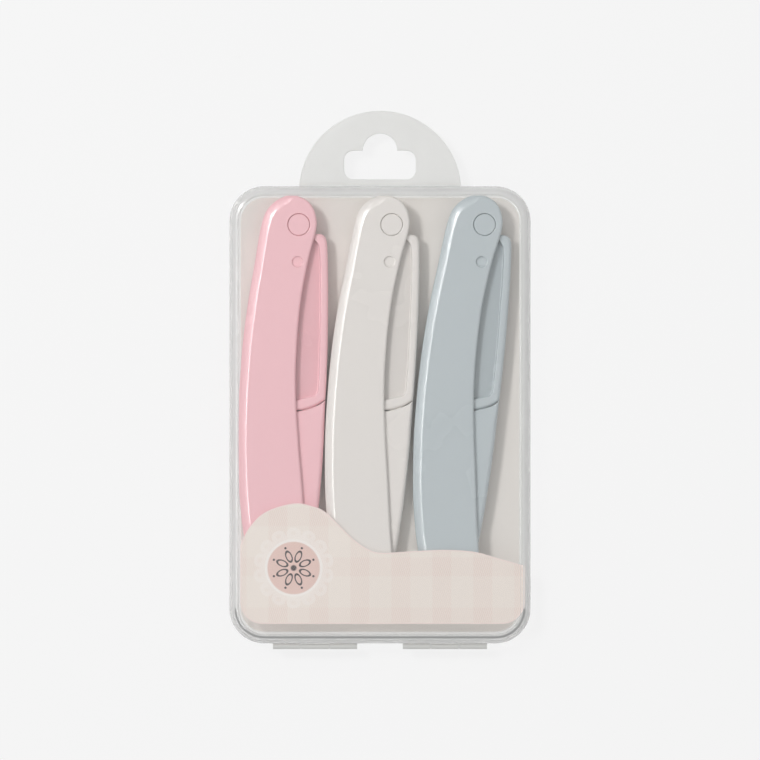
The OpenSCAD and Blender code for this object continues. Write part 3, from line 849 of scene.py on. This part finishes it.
def printed_card(name, sizes, column, row, badge):
    """Card printed with checks and a round badge."""
    material, tree, shader, place = new_material(name, IOR=1.45, Roughness=0.5)
    paper = use_group(tree, paper_group(), {"Vector": place, "Colour": solid(sizes.paper)})
    shifted = add(tree, "ShaderNodeMapping", {"Vector": place, "Location": (-column, -row, 0)})
    checks = use_group(tree, gingham_group(), {
        "Vector": shifted.outputs["Vector"], "Column pitch": sizes.check_pitch,
        "Row pitch": sizes.row_pitch, "Band": sizes.band, "Twill": sizes.twill})
    centred = add(tree, "ShaderNodeMapping", {"Vector": place, "Location": (-badge[0], -badge[1], 0)})
    parts = use_group(tree, badge_group(), {"Vector": centred.outputs["Vector"],
                                            "Radius": sizes.badge_radius})
    tone = paper["Colour"]
    for mask, rgb in ((checks["Mask"], sizes.print), (parts["Lace"], sizes.lace),
                      (parts["Disc"], sizes.print), (parts["Ink"], sizes.ink)):
        tone = blend(tree, mask, tone, solid(rgb))
    tree.links.new(tone, shader.inputs["Base Color"])
    bump(tree, shader, paper["Height"], strength=0.12, distance=0.02 * MM)
    let_light_through(tree, shader, sizes.show_through)
    return material


def brushed_steel(name):
    """Steel with fine grinding lines along Y."""
    material, tree, shader, place = new_material(name, Metallic=1.0)
    stretched = add(tree, "ShaderNodeMapping", {"Vector": place, "Scale": (1.0, 0.04, 1.0)})
    lines = noise(tree, stretched.outputs["Vector"], scale=6000.0, detail=3.0)
    dark, bright = (0.5, 0.51, 0.52, 1), (0.72, 0.73, 0.74, 1)
    smoothest, spread = 0.18, 0.2
    tree.links.new(blend(tree, lines, dark, bright), shader.inputs["Base Color"])
    tree.links.new(maths(tree, "MULTIPLY_ADD", lines, spread, smoothest), shader.inputs["Roughness"])
    bump(tree, shader, lines, strength=0.1, distance=0.01 * MM)
    return material


class CaseFrame:
    """Heights and corners of the case, read from the frame."""

    def __init__(self, sizes):
        lid_low, lid_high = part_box("case_lid")
        card_low, card_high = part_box("backing_card")
        inset = card_low.x - lid_low.x
        self.low = (lid_low.x, card_low.y - inset)
        self.high = (lid_high.x, card_high.y + inset)
        self.hinge = middle("hinge_pin_left")
        self.top = lid_high.z
        self.lid_bottom = self.hinge.z + sizes.seam / 2
        self.tray_top = self.hinge.z - sizes.seam / 2
        self.lip_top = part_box("case_base")[1].z
        self.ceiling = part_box("front_card")[1].z
        self.floor = card_low.z


def barrels(sizes, own, web_side):
    """Makes the hinge barrels of one half of the case, each with its bore and its web to the wall."""
    bm = bmesh.new()
    pin_low, pin_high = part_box("hinge_pin_left")
    width = pin_high.x - pin_low.x
    knuckle = (width - (KNUCKLES - 1) * sizes.barrel_gap) / KNUCKLES
    bore = (pin_high.z - pin_low.z) / 2 + sizes.pin_gap
    case = CaseFrame(sizes)
    for pin in ("hinge_pin_left", "hinge_pin_right"):
        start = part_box(pin)[0].x
        for place in own:
            left = start + place * (knuckle + sizes.barrel_gap)
            corner = Vector((left, case.hinge.y, case.hinge.z + bore))
            ring = [bm.verts.new(corner + Vector(step)) for step in (
                (0, 0, 0), (knuckle, 0, 0), (knuckle, 0, sizes.barrel - bore), (0, 0, sizes.barrel - bore))]
            edges = [bm.edges.new((ring[i - 1], ring[i])) for i in range(4)]
            bmesh.ops.spin(bm, geom=ring + edges, cent=case.hinge, axis=(1, 0, 0), angle=2 * math.pi,
                           steps=ROUND_SIDES // 2, use_merge=True)
            reach = case.low[1] - case.hinge.y
            inner = (sizes.barrel + bore) / 2
            heights = (-sizes.barrel, -sizes.seam) if web_side < 0 else (sizes.seam, sizes.barrel)
            block(bm, (left, case.hinge.y + inner, case.hinge.z + heights[0]),
                  (left + knuckle, case.hinge.y + reach - AIR, case.hinge.z + heights[1]))
    bmesh.ops.remove_doubles(bm, verts=bm.verts, dist=AIR / 10)
    face_outwards(bm)
    return bm


def mark_walls(bm, level):
    """Gives the second material to all faces but the level ones at or below a height."""
    for face in bm.faces:
        flat = abs(face.normal.z) > LEVEL
        face.material_index = 0 if flat and face.calc_center_median().z < level + AIR else 1


def mark_painted_gap_shade(bm, case, sizes):
    """Gives the third material, a dark painted shade, to one facet of the lid's inner rounding along the
    hinge side and its corners, which is seen from the front as a dark shade line."""
    across = (case.low[1] + case.high[1]) / 2
    for face in bm.faces:
        centre = face.calc_center_median()
        slanted = PAINTED_SHADE_SLANT[0] < face.normal.z < PAINTED_SHADE_SLANT[1]
        inner = face.normal.x * centre.x + face.normal.y * (centre.y - across) < 0
        if slanted and inner and centre.y < case.low[1] + sizes.corner:
            face.material_index = 2


def wall_plastic(sizes):
    """The case's plastic where it is thick: milky and a little rough."""
    name = "milky_wall"
    return bpy.data.materials.get(name) or clear_plastic(
        name, sizes.wall_plastic, sizes.wall_roughness, scratches=0.0, milk=sizes.wall_milk)


def add_knuckles(sizes, name, own, web_side, body, slot):
    """Adds the hinge barrels of one half of the case."""
    plastic = moulded_plastic("hinge", sizes.hinge_plastic, sizes.hinge_roughness)
    hand_over(new_piece(name, barrels(sizes, own, web_side), plastic), body, slot)


class RAZORSET_OT_tray(bpy.types.Operator):
    """Builds the tray with its lip and its hinge barrels"""

    bl_idname = "razor_set.tray"
    bl_label = "Tray"

    def execute(self, context):
        sizes, tab = context.scene.case_sizes, context.scene.tab_sizes
        case = CaseFrame(sizes)
        clear = clear_plastic("clear_tray", sizes.plastic, sizes.roughness, scratches=0.2)
        bm = bmesh.new()
        bottom = round_rectangle(bm, case.low, case.high, sizes.corner, 0.0)
        top = extrude(bm, bottom, case.tray_top)
        face_outwards(bm)
        bmesh.ops.inset_region(bm, faces=[top], thickness=sizes.wall + sizes.lip_gap, use_even_offset=True)
        lip = extrude(bm, top, case.lip_top - case.tray_top)
        bmesh.ops.inset_region(bm, faces=[lip], thickness=sizes.lip, use_even_offset=True)
        lip_edges = [edge for edge in bm.edges
                     if all(vert.co.z > case.tray_top + CUT for vert in edge.verts)]
        well = extrude(bm, lip, case.floor - AIR - case.lip_top)
        round_edges(bm, lip_edges, sizes.lip_round, steps=3)
        round_edges(bm, well.edges, sizes.tray_inner_round, steps=3)
        round_edges(bm, bottom.edges, sizes.tray_round, steps=6)
        face_outwards(bm)
        mark_walls(bm, case.floor)
        piece = new_piece("tray", bm, clear, wall_plastic(sizes))
        low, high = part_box("hang_tab")
        sockets = bmesh.new()
        for side in (-1, 1):
            centre = side * tab.foot_pitch / 2
            reach = tab.foot_width / 2 + tab.foot_gap
            start_y = case.high[1] - tab.foot_depth - tab.foot_gap
            block(sockets, (centre - reach, start_y, low.z - tab.foot_gap),
                  (centre + reach, case.high[1] + CUT, high.z + tab.foot_gap))
        combine(piece, sockets)
        hand_over(piece, "case", "clear_plastic", "case_base")
        add_knuckles(sizes, "tray_hinge_barrels", (0, 2), -1, "case", "clear_plastic")
        return {"FINISHED"}


class RAZORSET_OT_lid(bpy.types.Operator):
    """Builds the lid with its rounded edge and its hinge barrels"""

    bl_idname = "razor_set.lid"
    bl_label = "Lid"

    def execute(self, context):
        sizes = context.scene.case_sizes
        case = CaseFrame(sizes)
        clear = clear_plastic("clear_lid", sizes.plastic, sizes.roughness, scratches=0.35)
        bm = bmesh.new()
        bottom = round_rectangle(bm, case.low, case.high, sizes.corner, case.lid_bottom)
        top = extrude(bm, bottom, case.top - case.lid_bottom)
        face_outwards(bm)
        bmesh.ops.inset_region(bm, faces=[bottom], thickness=sizes.wall, use_even_offset=True)
        ceiling = extrude(bm, bottom, case.ceiling + AIR - case.lid_bottom)
        round_edges(bm, ceiling.edges, sizes.lid_inner_round, steps=4)
        round_edges(bm, top.edges, sizes.lid_round, steps=10)
        face_outwards(bm)
        mark_walls(bm, case.top)
        mark_painted_gap_shade(bm, case, sizes)
        # Third material: painted shade, a dark line along the hinge side and its corners
        piece = new_piece("lid", bm, clear, wall_plastic(sizes),
                          moulded_plastic("seam", sizes.painted_gap_shade, sizes.hinge_roughness))
        hand_over(piece, "lid", "lid_plastic", "case_lid")
        add_knuckles(sizes, "lid_hinge_barrels", (1,), 1, "lid", "lid_plastic")
        return {"FINISHED"}


class RAZORSET_OT_hang_tab(bpy.types.Operator):
    """Builds the frosted half-round tab with its euro hole and its two feet"""

    bl_idname = "razor_set.hang_tab"
    bl_label = "Hang tab"

    def execute(self, context):
        sizes = context.scene.tab_sizes
        low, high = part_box("hang_tab")
        case_top = CaseFrame(context.scene.case_sizes).high[1]
        centre_y = case_top - sizes.sink
        radius = high.y - centre_y
        bm = bmesh.new()
        made = bmesh.ops.create_circle(bm, cap_ends=True, segments=2 * ROUND_SIDES, radius=radius,
                                       matrix=Matrix.Translation((0, centre_y, low.z)))
        bmesh.ops.bisect_plane(bm, geom=made["verts"] + bm.edges[:] + bm.faces[:],
                               plane_co=(0, case_top + AIR, 0), plane_no=(0, -1, 0), clear_outer=True)
        bm.faces.ensure_lookup_table()
        extrude(bm, bm.faces[0], high.z - low.z)
        face_outwards(bm)
        plastic = frosted_plastic("frosted_sheet", sizes.plastic, clearness=0.45)
        piece = new_piece("frosted_tab", bm, plastic)
        hole_low = case_top + sizes.hole_rise
        hole_top = hole_low + sizes.hole_height
        aside = sizes.hole_width / 2
        shoulders = bmesh.new()
        face = round_rectangle(shoulders, (-aside, hole_low), (aside, hole_top), sizes.hole_corner,
                               low.z - CUT)
        extrude(shoulders, face, high.z - low.z + 2 * CUT)
        face_outwards(shoulders)
        combine(piece, shoulders)
        carve(piece, disc, sizes.hole_bump, low.z - CUT, high.z + CUT, (0, hole_top))
        feet = bmesh.new()
        for side in (-1, 1):
            centre = side * sizes.foot_pitch / 2
            block(feet, (centre - sizes.foot_width / 2, case_top - sizes.foot_depth, low.z),
                  (centre + sizes.foot_width / 2, case_top + sizes.hole_rise / 2, high.z))
        combine(piece, feet, "UNION")
        soften(piece, sizes.edge, steps=3)
        hand_over(piece, "case", "frosted_plastic", "hang_tab")
        return {"FINISHED"}


class RAZORSET_OT_cards(bpy.types.Operator):
    """Builds the printed front card and finishes the backing card"""

    bl_idname = "razor_set.cards"
    bl_label = "Cards"

    # Places on the front card, from the case's middle: a band and a row of checks, and the badge
    column = -5.0 * MM
    row = -46.5 * MM
    badge = (-21.5 * MM, -46.8 * MM)

    def execute(self, context):
        sizes = context.scene.card_sizes
        low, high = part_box("front_card")
        width, height = high.x - low.x, high.y - low.y
        start = Vector((low.x + width / 2, low.y))
        wave = [start + p for p in smooth_path(scaled(WAVE_SHARES, width, height))]
        outline = [Vector((high.x, low.y)), Vector((low.x, low.y))] + wave
        bm = bmesh.new()
        face = flat_face(bm, outline, low.z)
        corners = sorted(face.verts, key=lambda v: v.co.y)[:2]
        top = extrude(bm, round_corners(bm, corners, sizes.corner), high.z - low.z)
        face_outwards(bm)
        rim = bmesh.ops.inset_region(bm, faces=[top], thickness=sizes.border, use_even_offset=True)
        for part in rim["faces"]:
            part.material_index = 1
        face_outwards(bm)
        printed = printed_card("checked_card", sizes, self.column, self.row, self.badge)
        piece = new_piece("wave_card", bm, printed, plain_card("card_border", sizes.border_paper))
        hand_over(piece, "lid", "printed_card", "front_card")
        dress("backing_card", plain_card("backing_card", sizes.backing))
        return {"FINISHED"}


def grip_outline():
    """Gives the grip's smooth outline about its pivot, and its length."""
    low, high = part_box("pink_handle")
    outline = smooth_loop(scaled(GRIP_SHARES, high.x - low.x, high.y - low.y))
    return outline, high.y - low.y


def sided(left, right):
    """Gives the rounding of a long edge, which goes softly from the left side's to the right side's;
    each side gives its width, depth and bend."""
    def rounding(outward):
        rightward = min(max((outward.x - CHANGE_START) / CHANGE_WIDTH, 0), 1)
        return Vector(left).lerp(Vector(right), rightward * rightward * (3 - 2 * rightward))
    return rounding


def copies(piece, node, body, name):
    """Puts a copy of a piece at each razor's place, and lets it stand for its CAD node. The faces of its
    second material, the arm's recessed panel floor, get a darker, deeper copy of the colour as painted
    shade."""
    sizes = bpy.context.scene.razor_sizes
    for at in razor_places(sizes):
        mesh = piece.data.copy()
        mesh.transform(at.grip if node == "handle" else at.arm)
        # Faces with material index 1 are the arm's panel floor, which gets painted shade
        thin = [face.material_index for face in mesh.polygons]
        mesh.materials.clear()
        rgb = getattr(sizes, at.colour)
        mesh.materials.append(moulded_plastic(at.colour, rgb, sizes.roughness))
        if any(thin):
            panel_shade_rgb = [sizes.thin_shade * part ** sizes.thin_depth for part in rgb]
            mesh.materials.append(moulded_plastic("thin_" + at.colour, panel_shade_rgb, sizes.roughness))
            mesh.polygons.foreach_set("material_index", thin)
        made = bpy.data.objects.new(f"{at.colour}_{name}", mesh)
        bpy.context.scene.collection.objects.link(made)
        hand_over(made, f"{at.colour}_{body}", at.colour + "_plastic", f"{at.colour}_{node}")
    bpy.data.objects.remove(piece)


class RAZORSET_OT_handles(bpy.types.Operator):
    """Builds the curved grips with their slots, pivot recesses and dimples"""

    bl_idname = "razor_set.handles"
    bl_label = "Handles"

    def execute(self, context):
        sizes = context.scene.razor_sizes
        low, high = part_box("pink_handle")
        half = (high.z - low.z) / 2
        outline, tall = grip_outline()
        bm = bmesh.new()
        crowned(bm, outline, half, sided((sizes.left_round, sizes.left_drop, sizes.left_bend),
                                         (sizes.right_round, sizes.right_round, 1)), steps=9)
        piece = new_piece("grip", bm)
        width, slot = high.x - low.x, sizes.slot / 2
        carve(piece, prism, [p + Vector((sizes.back, 0)) for p in outline], -slot, slot)
        carve(piece, block, (-width, OPEN_HEAD_SHARE * tall, -slot), (width, tall, slot))
        pin_low, pin_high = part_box("pink_pivot_pin")
        stop = middle("pink_stop_pin") - middle("pink_pivot_pin")
        head = (pin_high.x - pin_low.x) / 2 + sizes.groove
        stop_low, stop_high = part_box("pink_stop_pin")
        for side in (-1, 1):
            for radius, depth, at in ((head, sizes.head_depth, (0, 0)),
                                      (sizes.dimple, sizes.dimple_depth, stop)):
                ring = [Vector((at[0], at[1])) + radius * Vector((math.sin(turn), math.cos(turn)))
                        for turn in (2 * math.pi * k / ROUND_SIDES for k in range(ROUND_SIDES))]
                carve(piece, soft_recess, ring, side, half - depth, half, sizes.recess_round,
                      RECESS_STEPS)
        for radius, at in ((sizes.shaft, (0, 0)), ((stop_high.x - stop_low.x) / 2, stop)):
            carve(piece, disc, radius + AIR, -half, half, at)
        copies(piece, "handle", "razor", "grip")
        return {"FINISHED"}


def tongue_outline(sizes, gap):
    """Gives the outline of the tongue that holds the blade."""
    back, end, front = (s * sizes.arm_width for s in TONGUE_SHARES)
    start_y = sizes.tongue_root - sizes.arm_length
    end_y = sizes.tongue_short - sizes.arm_length - sizes.blade_start - sizes.blade_length - gap
    return [Vector(p) for p in ((back + gap, start_y), (front - gap, start_y), (front - gap, end_y),
                                (end + gap, end_y))]


def blade_space(sizes, gap):
    """Gives the outline of the space that the blade needs in the cap."""
    front = TONGUE_SHARES[2] * sizes.arm_width
    start_y = sizes.tongue_root - sizes.arm_length
    root_y = -sizes.arm_length - sizes.blade_start
    end_y = root_y - sizes.blade_length - gap
    return [Vector(p) for p in (
        (front, start_y), (front - sizes.blade_out - gap, start_y),
        (front - sizes.blade_out - gap, root_y), (front - sizes.blade_out / 2 - gap, end_y),
        (front, end_y))]


class RAZORSET_OT_arms(bpy.types.Operator):
    """Builds the arms with their eyes, recessed panels and blade tongues"""

    bl_idname = "razor_set.arms"
    bl_label = "Arms"

    def execute(self, context):
        sizes = context.scene.razor_sizes
        wide, tall = sizes.arm_width, sizes.arm_length
        cap_low, cap_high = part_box("pink_cap")
        half = (cap_high.z - cap_low.z) / 2
        outline = [p for shares in (ARM_EDGE_SHARES, SEAM_SHARES, ARM_INNER_SHARES)
                   for p in smooth_path(scaled(shares, wide, tall))]
        bm = bmesh.new()
        crowned(bm, outline, half, sided((sizes.fine_edge, sizes.fine_edge, 1),
                                         (sizes.arm_round, sizes.arm_round, 1)), steps=4)
        piece = new_piece("arm", bm)
        carve(piece, disc, sizes.eye, -half, half, operation="UNION")
        carve(piece, prism, tongue_outline(sizes, gap=0.0), -sizes.tongue / 2, sizes.tongue / 2,
              operation="UNION")
        panel = smooth_loop(scaled(PANEL_SHARES, wide, tall))
        floor = half - sizes.panel_depth
        for side in (-1, 1):
            carve(piece, soft_recess, panel, side, floor, half, sizes.rim_round, RIM_STEPS)
        carve(piece, disc, sizes.shaft + sizes.pivot_gap, -half - CUT, half + CUT)
        # The panel's floor gets the second material, a darker copy of the colour as painted shade of the
        # recess
        for face in piece.data.polygons:
            if abs(abs(face.center.z) - floor) < AIR:
                face.material_index = 1
        copies(piece, "arm", "blade_arm", "swing_arm")
        return {"FINISHED"}


class RAZORSET_OT_caps(bpy.types.Operator):
    """Builds the tapering blade caps with the space for tongue and blade"""

    bl_idname = "razor_set.caps"
    bl_label = "Caps"

    def execute(self, context):
        sizes = context.scene.razor_sizes
        cap_low, cap_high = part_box("pink_cap")
        half = (cap_high.z - cap_low.z) / 2
        seam = [Vector((p.x, p.y - sizes.cap_gap))
                for p in smooth_path(scaled(SEAM_SHARES, sizes.arm_width, sizes.arm_length))]
        edges = [smooth_path(scaled(shares, sizes.arm_width, sizes.cap_length, sizes.arm_length))
                 for shares in (CAP_INNER_SHARES, CAP_OUTER_SHARES)]
        bm = bmesh.new()
        outline = list(reversed(seam + edges[0] + edges[1]))
        crowned(bm, outline, half, sided((sizes.fine_edge, sizes.fine_edge, 1),
                                         (sizes.cap_round, sizes.cap_round, 1)), steps=5)
        piece = new_piece("cap", bm)
        space = sizes.tongue / 2 + sizes.tongue_gap
        for outline in (tongue_outline(sizes, sizes.tongue_gap), blade_space(sizes, sizes.tongue_gap)):
            carve(piece, prism, outline, -space, space)
        copies(piece, "cap", "blade_cap", "blade_cover")
        return {"FINISHED"}


class RAZORSET_OT_metal(bpy.types.Operator):
    """Finishes the pins and the blades"""

    bl_idname = "razor_set.metal"
    bl_label = "Pins and blades"

    def execute(self, context):
        sizes = context.scene.razor_sizes
        steel = brushed_steel("brushed_steel")
        for name in ("hinge_pin_left", "hinge_pin_right", *(c + "_blade" for c in COLOURS)):
            dress(name, steel)
        for name in COLOURS:
            plastic = moulded_plastic(name, getattr(sizes, name), sizes.roughness)
            for pin in ("_pivot_pin", "_stop_pin"):
                dress(name + pin, plastic)
        return {"FINISHED"}


def toward(turn, rise):
    """Gives the direction at a turn from +X and a rise above the horizon."""
    return Vector((math.cos(turn) * math.cos(rise), math.sin(turn) * math.cos(rise), math.sin(rise)))


class RAZORSET_OT_stage(bpy.types.Operator):
    """Sets up the pale floor, the soft light and the camera"""

    bl_idname = "razor_set.stage"
    bl_label = "Floor, light and camera"

    def execute(self, context):
        stage = context.scene.stage_sizes
        self.floor(stage)
        self.world(stage)
        self.key(stage)
        self.strip(stage)
        self.camera(stage)
        context.scene.view_settings.view_transform = "Standard"
        return {"FINISHED"}

    def floor(self, stage):
        """Makes the floor, which glows so that its tone stays even."""
        material = new_material("pale_floor", Base_Color=(0.12, 0.12, 0.12, 1), Roughness=1.0,
                                Specular_IOR_Level=0.0, Emission_Color=solid(stage.background),
                                Emission_Strength=stage.floor_glow)[0]
        bm = bmesh.new()
        reach, drop = stage.floor_size, 0.1 * MM
        flat_face(bm, ((-reach, -reach), (reach, -reach), (reach, reach), (-reach, reach)), -drop)
        new_piece("floor", bm, material)

    def world(self, stage):
        """Makes the soft surrounding light, and the plain background that the camera sees."""
        world = bpy.data.worlds.new("soft_studio")
        world.use_nodes = True
        tree = world.node_tree
        tree.nodes.clear()
        seen = add(tree, "ShaderNodeLightPath").outputs["Is Camera Ray"]
        plain = add(tree, "ShaderNodeBackground", {"Color": solid(stage.background), "Strength": 1.0})
        height = add(tree, "ShaderNodeSeparateXYZ",
                     {"Vector": add(tree, "ShaderNodeTexCoord").outputs["Generated"]}).outputs["Z"]
        low_tone, high_tone = (0.35, 0.35, 0.36, 1), (1, 1, 1, 1)
        tone = blend(tree, between(tree, height, low=0.0, high=0.8), low_tone, high_tone)
        light = add(tree, "ShaderNodeBackground", {"Color": tone, "Strength": stage.fill})
        mixed = add(tree, "ShaderNodeMixShader", {0: seen, 1: light.outputs[0], 2: plain.outputs[0]})
        add(tree, "ShaderNodeOutputWorld", {"Surface": mixed.outputs[0]})
        bpy.context.scene.world = world

    def key(self, stage):
        light = bpy.data.lights.new("key", "AREA")
        light.shape = "DISK"
        light.size = stage.key_size
        light.energy = stage.key_power
        self.place(light, stage.key_turn, stage.key_rise, stage)

    def strip(self, stage):
        """Adds a long light that is seen only as a highlight."""
        light = bpy.data.lights.new("strip", "AREA")
        light.shape = "RECTANGLE"
        light.size = stage.strip_length
        light.size_y = stage.strip_width
        light.energy = stage.strip_power
        self.place(light, stage.strip_turn, stage.strip_rise, stage).visible_diffuse = False

    def place(self, light, turn, rise, stage):
        """Turns a light towards the middle, and gives its object."""
        made = bpy.data.objects.new(light.name, light)
        direction = toward(turn, rise)
        made.location = direction * stage.key_distance
        made.rotation_euler = direction.to_track_quat("Z", "Y").to_euler()
        bpy.context.scene.collection.objects.link(made)
        return made

    def camera(self, stage):
        data = bpy.data.cameras.new("camera")
        data.sensor_width = stage.lens_sensor / MM
        data.lens = data.sensor_width * stage.distance / stage.view_width
        data.clip_end = 10.0
        camera = bpy.data.objects.new("camera", data)
        camera.location = (0, 0, stage.view_height + stage.distance)
        bpy.context.scene.collection.objects.link(camera)
        bpy.context.scene.camera = camera


BUILDERS = (
    RAZORSET_OT_tray, RAZORSET_OT_lid, RAZORSET_OT_hang_tab, RAZORSET_OT_cards, RAZORSET_OT_handles,
    RAZORSET_OT_arms, RAZORSET_OT_caps, RAZORSET_OT_metal, RAZORSET_OT_stage,
)
GROUPS = {
    "case_sizes": CaseSizes, "tab_sizes": TabSizes, "card_sizes": CardSizes,
    "razor_sizes": RazorSizes, "stage_sizes": StageSizes,
}


class RAZORSET_PT_panel(bpy.types.Panel):
    """Lists the steps that build the set, and its sizes"""

    bl_idname = "RAZORSET_PT_panel"
    bl_label = "Razor Set"
    bl_space_type = "VIEW_3D"
    bl_region_type = "UI"
    bl_category = "Razor Set"

    def draw(self, context):
        for builder in BUILDERS:
            self.layout.operator(builder.bl_idname)
        for name, group in GROUPS.items():
            box = self.layout.box()
            for prop in group.__annotations__:
                box.prop(getattr(context.scene, name), prop)


def register():
    for made in (*GROUPS.values(), *BUILDERS, RAZORSET_PT_panel):
        bpy.utils.register_class(made)
    for name, group in GROUPS.items():
        setattr(bpy.types.Scene, name, PointerProperty(type=group))


def unregister():
    for name in GROUPS:
        delattr(bpy.types.Scene, name)
    for made in (RAZORSET_PT_panel, *reversed(BUILDERS), *reversed(GROUPS.values())):
        bpy.utils.unregister_class(made)


def main():
    register()
    bpy.ops.razor_set.tray()
    bpy.ops.razor_set.lid()
    bpy.ops.razor_set.hang_tab()
    bpy.ops.razor_set.cards()
    bpy.ops.razor_set.handles()
    bpy.ops.razor_set.arms()
    bpy.ops.razor_set.caps()
    bpy.ops.razor_set.metal()
    bpy.ops.razor_set.stage()


if __name__ == "__main__":
    main()
